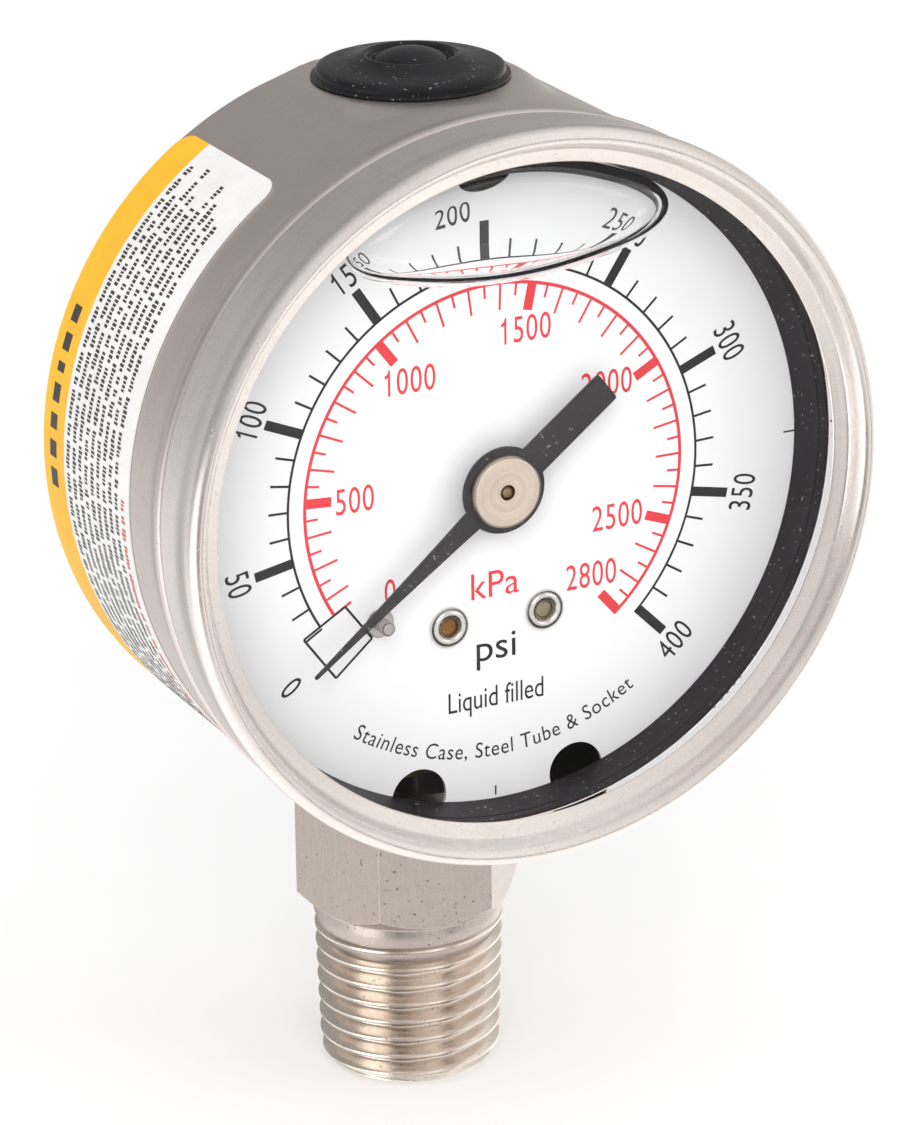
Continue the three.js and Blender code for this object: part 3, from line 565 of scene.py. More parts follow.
class Ink:
    """Collects print as thin closed solids. Points (x, z) lie about the pointer axis."""

    def __init__(self, height):
        self.verts, self.faces = [], []
        self.sunk, self.top = DIAL_Y + 0.004, DIAL_Y - height

    def add(self, x, y, z):
        self.verts.append((PX + x, y, PZ + z))

    def solid(self, outline):
        n, base = len(outline), len(self.verts)
        for y in (self.sunk, self.top):
            for x, z in outline:
                self.add(x, y, z)
        self.faces.append(tuple(base + i for i in range(n)))
        self.faces.append(tuple(base + n + i for i in reversed(range(n))))
        for i in range(n):
            j = (i + 1) % n
            self.faces.append((base + i, base + n + i, base + n + j, base + j))

    def arc(self, radius, half_width, start, end):
        """Ring segment between two angles, in steps of about half a degree."""
        r0, r1 = radius - half_width, radius + half_width
        count = max(2, int(abs(end - start) / 0.5))
        base = len(self.verts)
        for k in range(count + 1):
            angle = start + (end - start) * k / count
            for r, y in ((r0, self.sunk), (r1, self.sunk), (r1, self.top), (r0, self.top)):
                x, z = polar(r, angle)
                self.add(x, y, z)
        sweep_faces(self.faces, base, count + 1, 4)

    def tick(self, r0, r1, angle, width):
        s, c = polar(1.0, angle)
        corners = ((r0, -width / 2), (r1, -width / 2), (r1, width / 2), (r0, width / 2))
        self.solid([(r * s + h * c, r * c - h * s) for r, h in corners])

    def line(self, p, q, width):
        dx, dz = q[0] - p[0], q[1] - p[1]
        length = math.hypot(dx, dz)
        nx, nz = -dz / length * width / 2, dx / length * width / 2
        self.solid([(p[0] + nx, p[1] + nz), (q[0] + nx, q[1] + nz),
                    (q[0] - nx, q[1] - nz), (p[0] - nx, p[1] - nz)])

    def glyphs(self, verts, faces, locate):
        base = len(self.verts)
        for x, y, height in verts:
            px, pz = locate(x, y)
            self.add(px, self.sunk if height < 0 else self.top, pz)
        self.faces += [tuple(base + i for i in face) for face in faces]

    def number(self, text, cx, cz, height, width, advance, turn=0.0):
        """Digits centred at (cx, cz), each in its own cell, tops turned clockwise by turn."""
        scale_x = width / (ZERO_RIGHT - ZERO_LEFT)
        scale_y = height / (ZERO_HIGH - ZERO_LOW)
        middle_y = (ZERO_LOW + ZERO_HIGH) / 2
        s, c = math.sin(turn * DEG), math.cos(turn * DEG)
        for i, digit in enumerate(text):
            offset = (i - (len(text) - 1) / 2) * advance

            def at(a, b):
                return cx + (a + offset) * c + b * s, cz - (a + offset) * s + b * c

            if digit == "1":
                self.solid([at((x - 0.5) * width, (y - 0.5) * height)
                            for x, y in reversed(DIGIT_ONE)])
                continue
            verts, faces = text_mesh(digit)
            middle = sum(extent(verts, 0)) / 2
            self.glyphs(verts, faces,
                        lambda x, y: at((x - middle) * scale_x, (y - middle_y) * scale_y))

    def word(self, text, cx, cz, width, cap):
        verts, faces = text_mesh(text)
        left, right = extent(verts, 0)
        scale_x, scale_y = width / (right - left), cap / (CAP_HIGH - CAP_LOW)
        self.glyphs(verts, faces, lambda x, y: (
            cx + (x - (left + right) / 2) * scale_x,
            cz + (y - (CAP_LOW + CAP_HIGH) / 2) * scale_y))

    def curved(self, text, radius, start, end, cap):
        """Text on a circle, tops inward, from angle start to end, radius at mid height."""
        verts, faces = text_mesh(text, 1.08)
        left, right = extent(verts, 0)
        scale = cap / (CAP_HIGH - CAP_LOW)
        middle = (CAP_LOW + CAP_HIGH) / 2

        def at(x, y):
            return polar(radius - (y - middle) * scale,
                         start + (end - start) * (x - left) / (right - left))

        self.glyphs(verts, faces, at)

    def done(self, name, material):
        place(make_mesh(name, self.verts, self.faces, [material], sharp=40))


# ---------------------------------------------------------------- case
def build_case():
    """Barrel with a rear wall, a flared front edge and a flat seat pressed in on top."""
    flare = curve([                        # radius, y
        (CASE_R, -18.9), (25.585, -19.4), (25.66, -19.95), (25.82, -20.5), (25.96, -20.88),
        (26.0, -21.12), (25.97, -21.34), (25.84, -21.58), (25.62, -21.74)], 5)
    outline = [(0, 0), (12.0, 0), (20.0, 0), (23.6, 0), (24.2, 0)]
    outline += quarter(CASE_R - CORNER_R, -CORNER_R, CORNER_R, 10)
    outline += [(CASE_R, -6.0), (CASE_R, -12.0)] + flare
    outline += [
        (25.45, -21.82), (25.45, -22.04), (25.39, -22.1), (24.91, -22.1), (24.85, -22.04),
        (24.85, -12.0), (24.85, -1.6), (24.7, -1.15), (24.35, -0.8), (24.0, -0.7), (0, -0.7)]
    # closer rows along the barrel, so that the seat of the plug can be pressed into it
    profile = []
    row_pitch = 0.35
    for k, (r, y) in enumerate(outline):
        profile.append((r, y))
        next_r, next_y = outline[(k + 1) % len(outline)]
        if r > 24.8 and next_r > 24.8 and abs(next_y - y) > 1.5:
            rows = int(abs(next_y - y) / row_pitch)
            profile += [(r + (next_r - r) * t / rows, y + (next_y - y) * t / rows)
                        for t in range(1, rows)]

    seat_r, seat_blend = 7.1, 3.1          # flat disc, and the ring that fades it out
    seat_z, seat_inner_z = 25.3, 24.6
    outer_rows = 80                        # inner wall rows all come after this one

    def press(x, y, z, k):
        if z < 15 or y < -19.0:
            return x, y, z
        t = min(1.0, max(0.0, (math.hypot(x, y - PLUG_Y) - seat_r) / seat_blend))
        t = t * t * (3 - 2 * t)
        inner = k > outer_rows and profile[k][0] < 25.2
        if y < -1.0:
            flat = seat_inner_z if inner else seat_z
        else:
            flat = seat_z + (y + 1.0) * 0.5
        if not inner and y > -1.2:
            flat = min(flat, z + 0.35 * min(1.0, -y))
        return x, y, z * t + flat * (1 - t)

    mesh = lathe("case_shell", profile, [CASE_STEEL], 480, sharp=28, shape=press)
    case = place(mesh, "case")
    plug_hole = [(0, 20), (5.6, 20), (5.6, 30), (0, 30)]             # radius, z
    socket_hole = [(0, -30), (6.25, -30), (6.25, -20), (0, -20)]     # radius, z
    screw_hole = [(0, 0.2), (2.15, 0.2), (1.95, 0), (1.15, -0.7), (1.15, -1), (0, -1)]
    screw_x, screw_z = 3.3, -18.4
    cutters = [
        lathe("plug_hole", plug_hole, [CASE_STEEL], 96, "Z", (0, PLUG_Y)),
        lathe("socket_hole", socket_hole, [CASE_STEEL], 96, "Z", (PX, SOCKET_Y))]
    cutters += [lathe("screw_hole", screw_hole, [CASE_STEEL], 48, "Y",
                      (PX + side * screw_x, screw_z)) for side in (-1, 1)]
    for cutter in cutters:
        cut(case, cutter)
    shade_smooth(case.data, 28)


# ---------------------------------------------------------------- bezel, lens, gasket
def build_bezel():
    profile = [(25.55, -21.82), (25.72, -21.8), (25.84, -21.85), (25.91, -22.0)]
    profile += curve([                     # outer side, then over the front edge
        (25.92, -22.15), (25.90, -22.9), (25.885, -23.7), (25.90, -24.4), (25.97, -25.0),
        (26.08, -25.6), (26.18, -26.2), (26.23, -26.75), (26.17, -27.2), (25.98, -27.55),
        (25.74, -27.77), (25.5, -27.85), (25.25, -27.78), (25.02, -27.58), (24.84, -27.25),
        (24.7, -26.85), (24.58, -26.55)], 5)
    profile += curve([                     # lip over the lens
        (24.52, -26.45), (24.4, -26.36), (24.0, -26.2), (23.62, -26.04), (23.54, -25.99)], 4)
    profile += [(23.5, -25.94), (23.52, -25.88), (25.55, -25.88)]
    place(lathe("bezel_rim", profile, [BEZEL_STEEL], 420, sharp=32),
          "bezel_ring")


def build_lens():
    """Window whose back touches the liquid, so light passes there unbent."""
    front, back = LENS_FRONT_Y, LENS_BACK_Y
    profile = [
        (0, front), (12, front), (24.4, front), (24.7, front), (24.745, front + 0.05),
        (24.485, back - 0.04), (24.45, back), (24.36, back), (20.0, back), (0, back)]
    place(lathe("lens_window", profile, [LENS, CLEAR], 360, indices=[0] * 7 + [1] * 3,
                sharp=20), "lens")


def build_gasket():
    profile = [
        (24.88, -25.79), (25.48, -25.79), (25.48, -22.17), (24.8, -22.17), (24.8, -18.83),
        (23.25, -18.83), (23.2, -18.9)]
    profile += curve([(23.21, -19.0), (23.36, -19.4), (23.60, -20.1), (23.85, -20.8),
                      (24.03, -21.36)], 4)
    profile += [(24.05, -21.40), (24.11, -21.42), (24.14, -21.47), (24.15, -21.56)]
    profile += curve([(24.16, -21.6), (24.25, -21.85), (24.34, -22.10)], 3)
    profile += [(24.38, -22.155), (24.44, -22.17), (24.60, -22.17), (24.63, -22.25)]

    def lean(x, y, z, k):
        """The inner lip leans to the left and down."""
        weight = max(0.0, (24.38 - math.hypot(x, z)) / 1.18)
        return x - 0.35 * weight, y, z - 0.3 * weight

    place(lathe("gasket_ring", profile, [GASKET_RUBBER], 300, sharp=32, shape=lean),
          "lens_gasket")


# ---------------------------------------------------------------- bubble of air in the liquid
def build_bubble():
    """Air at the top, between lens and dial. Its x and z are taken from the pointer axis."""
    front, back = LENS_BACK_Y + 0.012, DIAL_Y - 0.03
    # lower edge: an arc through two ends, bowed down to lowest_z; upper edge: a circle
    left, right, lowest_z = (-14.6, 18.3), (14.9, 17.9), 14.75
    top_r = 22.85
    blend = 4.6                            # width over which the two edges blend
    bulge = 2.15                           # how far the rounded side draws in
    start_x, start_z = 0.4, 18.6           # rays start here
    mid_x, mid_z = (left[0] + right[0]) / 2, (left[1] + right[1]) / 2
    sag = mid_z - lowest_z
    half = math.hypot(right[0] - left[0], right[1] - left[1]) / 2
    radius = (half * half + sag * sag) / (2 * sag)
    ux, uz = (right[0] - left[0]) / (2 * half), (right[1] - left[1]) / (2 * half)
    cx, cz = mid_x + -uz * (radius - sag), mid_z + ux * (radius - sag)

    def depth(x, z):
        """Distance inside the blended outline."""
        low = radius - math.hypot(x - cx, z - cz)
        up = top_r - math.hypot(x + PX, z + PZ)
        near = max(blend - abs(low - up), 0.0) / blend
        return min(low, up) - near * near * blend * 0.25

    segments, rows = 300, 26
    verts, faces = [], []
    for j in range(rows + 1):
        c = math.cos(math.pi * j / rows)
        y = (front + back) / 2 - (back - front) / 2 * c
        inset = bulge * (1 - math.sqrt(max(0.0, 1 - c * c)))
        for i in range(segments):
            angle = 2 * math.pi * i / segments
            dx, dz = math.sin(angle), math.cos(angle)
            near, far = 0.0, 20.0
            for _ in range(26):
                t = (near + far) / 2
                if depth(start_x + dx * t, start_z + dz * t) > inset:
                    near = t
                else:
                    far = t
            verts.append((PX + start_x + dx * near, y, PZ + start_z + dz * near))
    for j in range(rows):
        band(faces, j * segments, (j + 1) * segments, segments)
    for j, y in ((0, front), (rows, back)):
        middle = len(verts)
        verts.append((PX + start_x, y, PZ + start_z))
        for i in range(segments):
            faces.append((j * segments + i, j * segments + (i + 1) % segments, middle))
    # all faces are air surface, except the back, which touches the clear layer on the dial
    indices = [0] * (len(faces) - segments) + [1] * segments
    place(make_mesh("air_bubble", verts, faces, [AIR, CLEAR], indices, sharp=60))


# ---------------------------------------------------------------- dial
NOTCHES = [(22.9, -164.3), (23.2, 164.7), (23.4, -1.0)]    # radius, angle from pointer axis
NOTCH_R = 2.1


def notch_arc(cx, cz):
    """Inner edge of a notch, between its two crossings with the rim."""
    d = math.hypot(cx, cz)
    half = math.acos((DIAL_R ** 2 + d * d - NOTCH_R ** 2) / (2 * DIAL_R * d))
    heading = math.atan2(cx, cz)
    start, end = (math.atan2(DIAL_R * math.sin(a) - cx, DIAL_R * math.cos(a) - cz)
                  for a in (heading - half, heading + half))
    while end > start:
        end -= 2 * math.pi
    angles = [start + (end - start) * k / 40 for k in range(41)]
    return [(cx + NOTCH_R * math.sin(a), cz + NOTCH_R * math.cos(a)) for a in angles]


def dial_outline():
    centers = [(PX + r * math.sin(a * DEG), PZ + r * math.cos(a * DEG)) for r, a in NOTCHES]

    def notch_at(x, z):
        return next((c for c in centers if math.hypot(x - c[0], z - c[1]) < NOTCH_R), None)

    rim = circle(0.0, 0.0, DIAL_R, 900)
    notches = [notch_at(*point) for point in rim]
    # start at the first rim point that enters a notch
    first = next(k + 1 for k in range(900) if not notches[k] and notches[(k + 1) % 900])
    outline, previous = [], None
    for k in range(900):
        notch = notches[(first + k) % 900]
        if notch is None:
            outline.append(rim[(first + k) % 900])
        elif notch != previous:
            outline += notch_arc(*notch)
        previous = notch
    return outline


def build_dial_plate():
    loops = [dial_outline(), circle(PX, PZ, 2.2, 64)]
    loops += [circle(PX + side * EYELET_X, EYELET_Z, 0.7, 32) for side in (-1, 1)]
    loops.append(circle(*STOP, 0.55, 32))
    place(flat_plate("dial_plate", loops, DIAL_Y, DIAL_Y + 0.44, ENAMEL, 30),
          "dial")


SWEEP_START, SWEEP = -135, 270             # both scales begin and span alike
SCALE_CUT = -120.7                         # where the rings start
THICK, THIN = 0.70, 0.17                   # tick widths


def psi_angle(psi):
    return SWEEP_START + SWEEP * psi / 400


def kpa_angle(kpa):
    return SWEEP_START + SWEEP * kpa / 2757.9


# psi value, angle, radius
PSI_NUMBERS = [
    (0, -127.4, 19.8), (50, -101.3, 19.8), (100, -67.5, 19.7), (150, -33.0, 19.8),
    (200, -7.2, 19.55), (250, 32.3, 19.8), (300, 67.5, 19.8), (350, 101.1, 19.8),
    (400, 134.9, 19.8)]
# kPa value, x and z from the pointer axis
KPA_NUMBERS = [
    ("0", -8.14, -6.41), ("500", -10.68, 0.71), ("1000", -6.43, 8.57),
    ("1500", 2.38, 10.91), ("2000", 8.65, 6.0), ("2500", 9.45, -3.83), ("2800", 7.39, -7.85)]
# four-sided frame at the low end of the scale: x and z from the pointer axis
FRAME = [(-14.70, -8.73), (-11.55, -6.87), (-9.57, -9.52), (-12.35, -11.95)]


def print_black():
    ring = Ink(0.013)
    ring.arc(15.656, 0.09, SCALE_CUT, 135.0 + 1.25)
    for i in range(4):
        ring.line(FRAME[i], FRAME[(i + 1) % 4], THIN)
    ring.tick(22.75, 23.7, 89.7, 0.12)
    ring.tick(22.3, 23.0, 180.6, 0.12)
    ring.done("dial_ring_black", BLACK_INK)

    scale = Ink(0.011)
    for psi in range(20, 401, 10):
        outer, width = (18.55, THICK) if psi % 50 == 0 else (17.1, THIN)
        scale.tick(15.62, outer, psi_angle(psi), width)
    for psi, angle, radius in PSI_NUMBERS:
        x, z = polar(radius, angle)
        # numbers below the middle are turned over, so that they read upright
        turn = angle if abs(angle) < 90 else angle + 180
        scale.number(str(psi), x, z, height=1.78, width=0.78, advance=0.97, turn=turn)
    scale.word("psi", -0.08, -11.80, width=3.05, cap=1.95)
    scale.word("Liquid filled", -0.12, -15.50, width=7.4, cap=1.50)
    scale.curved("Stainless Case, Steel Tube & Socket", 19.45, 360 - 146, 147.5, cap=1.12)
    scale.done("dial_scale_black", BLACK_INK)


def print_red():
    ring = Ink(0.012)
    ring.arc(14.405, 0.12, SCALE_CUT, kpa_angle(2800) + 1.3)
    ring.done("dial_ring_red", RED_INK)

    scale = Ink(0.010)
    outer = 14.40
    scale.tick(12.9, outer, SCALE_CUT, 0.20)
    for kpa in range(200, 2801, 50):
        if kpa % 500 == 0 or kpa == 2800:
            inner, width = 12.44, THICK
        else:
            inner, width = (12.5 if kpa % 100 == 0 else 13.45), THIN
        scale.tick(inner, outer, kpa_angle(kpa), width)
    for text, x, z in KPA_NUMBERS:
        scale.number(text, x, z, height=1.88, width=0.84, advance=1.03)
    scale.word("kPa", -0.11, -7.19, width=3.7, cap=1.9)
    scale.done("dial_scale_red", RED_INK)


def build_eyelets():
    rim = curve([                          # radius, y
        (0.62, -18.80), (0.70, -19.0), (0.86, -19.12), (1.05, -19.17), (1.25, -19.12),
        (1.40, -19.0), (1.46, -18.86)], 4)
    profile = [(0, -18.55), (0.56, -18.55), (0.60, -18.62)] + rim
    profile += [(1.46, -18.79), (0.66, -18.79), (0.62, -18.7), (0.62, -15.35), (0, -15.35)]
    indices = [1, 1, 1] + [0] * (len(rim) + 3) + [1, 1]
    for side, sign, core in (("left", -1, BROWN_CORE), ("right", 1, BRASS_CORE)):
        mesh = lathe("eyelet_screw_" + side, profile, [EYELET_NICKEL, core], 72,
                     center=(PX + sign * EYELET_X, EYELET_Z), indices=indices, sharp=35)
        place(mesh, "dial_screw_" + side)


def build_stop_post():
    profile = [(0, -21.15)] + quarter(0.33, -20.98, 0.17, 15, v_side=-1) + [
        (0.5, -18.98), (0.95, -18.95), (1.02, -18.88), (1.02, -18.79), (0.5, -18.79),
        (0.5, -18.24), (0.8, -18.24), (0.8, -17.94), (0, -17.94)]
    place(lathe("stop_post", profile, [PIN_STEEL], 64, center=STOP, sharp=35),
          "stop_pin")


# ---------------------------------------------------------------- pointer and hub
def build_pointer():
    """Tapered blade, a disc round the axis and a straight tail."""
    ux, uz = polar(1.0, POINTER_ANGLE)
    tip, tip_r = 18.3, 0.13
    disc_r = 3.12
    root, tail, tail_w, tail_r = 0.82, -10.2, 1.2, 0.22    # half widths root and tail_w
    # one edge of the outline: length along the pointer, half width
    edge = [(tip - tip_r + tip_r * math.cos(t * DEG), tip_r * math.sin(t * DEG))
            for t in range(0, 90, 15)]
    edge += [(18.1, 0.135), (14.0, 0.27), (8.0, 0.55), (5.0, 0.70)]
    edge.append((math.sqrt(disc_r * disc_r - root * root), root))
    start, end = math.asin(root / disc_r), math.pi - math.asin(tail_w / disc_r)
    for k in range(1, 36):
        angle = start + (end - start) * k / 36
        edge.append((disc_r * math.cos(angle), disc_r * math.sin(angle)))
    edge.append((-math.sqrt(disc_r * disc_r - tail_w * tail_w), tail_w))
    edge += quarter(tail + tail_r, tail_w - tail_r, tail_r, 18, u_side=-1)[:0]
    edge += [(tail + tail_r - u, tail_w - tail_r + v)
             for u, v in (polar(tail_r, t) for t in range(0, 91, 18))]
    outline = edge + [(length, -w) for length, w in reversed(edge) if w > 1e-6]
    blade = [(PX + length * ux - w * uz, PZ + length * uz + w * ux) for length, w in outline]
    mesh = flat_plate("pointer_blade", [blade, circle(PX, PZ, 1.25, 48)], -20.85, -20.57,
                      POINTER_PAINT, 40, 0.035)
    place(mesh, "pointer", "pointer_assembly")


def build_hub():
    cap = [(0.52, -21.70), (0.56, -21.80), (0.62, -21.81), (2.33, -21.81)]
    cap += quarter(2.36, -21.61, 0.2, 15, v_side=-1)
    cap += [(2.56, -20.92), (2.52, -20.88), (1.2, -20.88), (1.2, -19.3), (0.52, -19.3)]
    place(lathe("hub_cap", cap, [HUB_NICKEL], 160, center=(PX, PZ), sharp=35),
          "pointer_hub", "pointer_assembly")
    shaft = [
        (0, -21.79), (0.22, -21.78), (0.36, -21.72), (0.44, -21.6), (0.47, -21.45),
        (0.47, -12.3), (0.33, -12.3), (0.33, -11.25), (0, -11.25)]
    place(lathe("pointer_shaft", shaft, [SHAFT_BRONZE], 48, center=(PX, PZ), sharp=35),
          "pinion_shaft", "pointer_assembly")


# ---------------------------------------------------------------- socket
def socket_point(radius, angle, z):
    """Point round the socket axis; angle in radians, 0 towards the front."""
    return PX + radius * math.sin(angle), SOCKET_Y - radius * math.cos(angle), z


def build_hex():
    """Hexagon with conical chamfers above and below, and a collar under it."""
    corner_r, first_corner = 8.46, -9.9 + 30
    flat_r = corner_r * math.cos(30 * DEG)
    top, bottom = -26.5, -36.6
    count = 6 * 40

    def section(angle):
        """Closed profile [(radius, z)] at an angle."""
        d = (angle / DEG - first_corner) % 60
        d = min(d, 60 - d)
        r = flat_r / math.cos((30 - d) * DEG)
        return [
            (2.5, -40.0), (6.2, -40.0), (6.98, -37.6), (7.0, -37.2), (7.0, -36.8),
            (7.05, -36.66), (7.2, bottom), (r, bottom + max(0.0, (r - 7.2)) * 0.86),
            (r, top - max(0.0, (r - (corner_r - 0.75))) * 0.8), (corner_r - 0.95, top),
            (6.2, top), (6.2, -24.2), (2.5, -24.2)]

    angles = [2 * math.pi * i / count + first_corner * DEG for i in range(count)]
    rows = list(zip(*(section(a) for a in angles)))
    verts = [socket_point(r, a, z) for row in rows for a, (r, z) in zip(angles, row)]
    faces = []
    for k in range(len(rows)):
        p, q = k * count, (k + 1) % len(rows) * count
        for i in range(count):
            j = (i + 1) % count
            faces.append((p + i, q + i, q + j, p + j))
    mesh = make_mesh("socket_hex", verts, faces, [SOCKET_STEEL, EDGE_WEAR_AND_HIGHLIGHT_STEEL], sharp=18)
    bevel = place(mesh, "socket").modifiers.new("edge", "BEVEL")
    bevel.width = 0.13 * MM
    bevel.segments = 3
    bevel.limit_method = "ANGLE"
    bevel.angle_limit = 34 * DEG
    bevel.harden_normals = True
    bevel.material = 1                     # the lighter edge steel: partly wear, partly a painted highlight


# one pitch of the thread: share of the pitch, height from root (0) to crest (1)
THREAD_FORM = [
    (0.0, 1.0), (0.06, 1.0), (0.13, 0.86), (0.28, 0.43), (0.42, 0.06), (0.47, 0.0),
    (0.53, 0.0), (0.58, 0.06), (0.72, 0.43), (0.87, 0.86), (0.94, 1.0)]


def thread_height(u):
    u = u % 1.0
    points = THREAD_FORM + [(1.0, 1.0)]
    for (a, b), (c, d) in zip(points, points[1:]):
        if a <= u <= c:
            return b + (d - b) * (u - a) / (c - a)
    return 1.0


def build_thread():
    """Taper thread: a true helix, fading out under the collar and at the end chamfer."""
    pitch, top, bottom, top_r = 1.411, -37.0, -49.45, 6.98
    around, form = 144, len(THREAD_FORM)

    def radius(z, u):
        fade = min(1.0, max(0.0, (top - z) / 1.1))
        fade = fade * fade * (3 - 2 * fade)
        r = top_r - (top - z) / 32 - 0.98 * (1 - thread_height(u)) * fade * 0.9
        return min(r, 5.75 + (z - bottom) * 0.95)

    turns = int((top - bottom) / pitch) + 3
    stations = [k + share for k in range(-1, turns) for share, _ in THREAD_FORM]
    angles = [-2 * math.pi * j / around for j in range(around)]
    verts, faces = [], []
    for j in range(around):
        phase = j / around
        for u in stations:
            z = top - (u + phase) * pitch
            held = min(top, max(bottom, z))
            r = radius(held, u if z == held else (top - held) / pitch - phase)
            verts.append(socket_point(r, -2 * math.pi * phase, held))
    n = len(stations)
    for j in range(around):
        for i in range(n - 1):
            if j < around - 1:
                faces.append((j * n + i, (j + 1) * n + i, (j + 1) * n + i + 1, j * n + i + 1))
            elif i + form + 1 < n:
                # the last column meets the first one pitch further on
                faces.append((j * n + i, i + form, i + form + 1, j * n + i + 1))
    # rings that close the top, then the bottom and the bore
    ring = len(verts)
    for r, z in ((3.0, top), (2.95, bottom), (2.5, bottom + 0.45), (2.5, -40.5)):
        verts += [socket_point(r, a, z) for a in angles]
    low, mid, bore = (ring + around * q for q in (1, 2, 3))
    for j in range(around):
        k = (j + 1) % around
        faces.append((ring + j, ring + k, k * n, j * n))
        faces.append((j * n + n - 1, k * n + n - 1, low + k, low + j))
        faces.append((low + j, low + k, mid + k, mid + j))
        faces.append((mid + j, mid + k, bore + k, bore + j))
        faces.append((bore + j, bore + k, ring + k, ring + j))
    place(make_mesh("socket_thread", verts, faces, [THREAD_STEEL], sharp=50, merge=0.0005))


def build_block():
    """Block inside the case that carries tube and movement: round, cut flat front and rear."""
    count = 120
    section = []
    for i in range(count):
        x, y, _ = socket_point(6.15, 2 * math.pi * i / count, 0)
        section.append((x, min(-1.0, max(-11.1, y))))
    verts, faces = [], []
    for z, scale in ((-25.4, 1.0), (-15.35, 1.0), (-15.0, 0.95)):
        verts += [(PX + (x - PX) * scale, SOCKET_Y + (y - SOCKET_Y) * scale, z)
                  for x, y in section]
    for k in range(2):
        band(faces, k * count, (k + 1) * count, count)
    faces.append(tuple(range(count)))
    faces.append(tuple(2 * count + i for i in reversed(range(count))))
    place(make_mesh("socket_block", verts, faces, [SOCKET_STEEL], sharp=25))


# ---------------------------------------------------------------- fill plug
def build_plug():
    """Rubber plug on top: a low dome, a ring round it, a cone and the neck below."""
    dome = curve([                         # radius, z
        (0.0001, 27.32), (0.8, 27.27), (1.5, 27.12), (2.1, 26.88), (2.5, 26.66)], 4)
    ring = curve([
        (2.78, 26.50), (2.88, 26.58), (3.0, 26.82), (3.14, 26.93), (3.32, 26.95),
        (3.55, 26.86)], 4)
    cone = curve([
        (3.8, 26.76), (4.3, 26.58), (4.9, 26.44), (5.6, 26.34), (6.1, 26.26), (6.42, 26.16),
        (6.58, 26.0), (6.62, 25.8), (6.62, 25.68)], 4)
    profile = [(0, 27.32)] + dome[1:] + [(2.56, 26.56), (2.66, 26.50)] + ring + cone + [
        (6.63, 25.62), (6.68, 25.58), (6.86, 25.57), (6.95, 25.52), (6.98, 25.44),
        (6.95, 25.36), (6.9, 25.34), (6.2, 25.34), (5.5, 25.34), (5.46, 24.7), (5.42, 24.3),
        (5.3, 24.0), (5.42, 23.7), (5.40, 23.5), (4.95, 22.95), (4.8, 22.9), (3.7, 22.9),
        (3.6, 23.0), (3.4, 24.6), (0, 24.6)]
    mesh = lathe("plug_rubber", profile, [RUBBER], 192, "Z", (0, PLUG_Y), sharp=40)
    place(mesh, "fill_plug", "fill_plug")


# ---------------------------------------------------------------- label on the left side
def build_label_film():
    """Film wrapped round the case, with round corners; s runs along its length."""
    rear, front, corner = -0.95, -16.0, 1.5
    under_r, length = CASE_R + 0.02, LABEL_LENGTH
    ends = [corner * (1 - math.cos(t * DEG)) for t in range(0, 91, 9)]
    middle = [corner + (length - 2 * corner) * k / 110 for k in range(111)]
    stations = sorted(set(ends + middle + [length - s for s in ends]))
    verts, faces = [], []
    for s in stations:
        e = min(s, length - s)
        inset = 0.0
        if e < corner:
            inset = corner - math.sqrt(max(0.0, corner * corner - (corner - e) ** 2))
        angle = LABEL_START * DEG + s / LABEL_R
        ya, yb = rear - inset, front + inset
        for r, y in ((under_r, ya), (LABEL_R, ya), (LABEL_R, ya + (yb - ya) * 0.33),
                     (LABEL_R, ya + (yb - ya) * 0.66), (LABEL_R, yb), (under_r, yb)):
            if y >= -CORNER_R:             # follow the rounding of the case
                drop = math.sqrt(max(0.0, CORNER_R ** 2 - (y + CORNER_R) ** 2))
                r -= CORNER_R - drop
            verts.append((r * math.sin(angle), y, r * math.cos(angle)))
    sweep_faces(faces, 0, len(stations), 6)
    place(make_mesh("label_film", verts, faces, [LABEL_FILM], sharp=40),
          "side_label")


def print_block(verts, faces, s0, s1, y0, y1):
    """Raised bar on the label, from s0 to s1 along it."""
    inner, outer = LABEL_R - 0.004, LABEL_R + 0.012
    count = max(1, int((s1 - s0) / 1.2))
    base = len(verts)
    for k in range(count + 1):
        angle = LABEL_START * DEG + (s0 + (s1 - s0) * k / count) / LABEL_R
        for r, y in ((inner, y0), (outer, y0), (outer, y1), (inner, y1)):
            verts.append((r * math.sin(angle), y, r * math.cos(angle)))
    sweep_faces(faces, base, count + 1, 4)


def build_label_print():
    """Ten rows of small bars as text, the last one red, and a heading of larger bars."""
    rnd = random.Random(7)
    dark, red = ([], []), ([], [])
    rows = 10
    for row in range(rows):
        y = -5.45 - row * 1.06
        s = 1.5 + rnd.uniform(0.0, 0.3)
        end = LABEL_LENGTH - 1.3 - rnd.uniform(0.0, 3.5)
        target = dark
        if row == rows - 1:
            target, s, end = red, 2.2, LABEL_LENGTH * 0.52
        while s < end:
            for _ in range(rnd.randint(2, 9)):
                width = rnd.uniform(0.16, 0.25)
                if s + width > end:
                    break
                up = 0.13 if rnd.random() < 0.3 else 0.0
                down = 0.11 if rnd.random() < 0.12 else 0.0
                print_block(*target, s, s + width, y - 0.23 - up, y + 0.23 + down)
                s += width + 0.10
            s += 0.30
    s = LABEL_LENGTH * 0.46
    for width in (1.35, 1.2, 1.1, 1.3, 0.7, 1.25, 1.2):
        print_block(*dark, s, s + width, -3.3, -2.2)
        s += width + 0.85
    for name, parts, material in (("label_lines_dark", dark, GREY_PRINT),
                                  ("label_lines_red", red, RED_PRINT)):
        place(make_mesh(name, *parts, [material], sharp=40, merge=0.00001))


build_case()
build_bezel()
build_lens()
build_gasket()
build_bubble()
build_dial_plate()
print_black()
print_red()
build_eyelets()
build_stop_post()
build_pointer()
build_hub()
build_hex()
build_thread()
build_block()
build_plug()
build_label_film()
build_label_print()

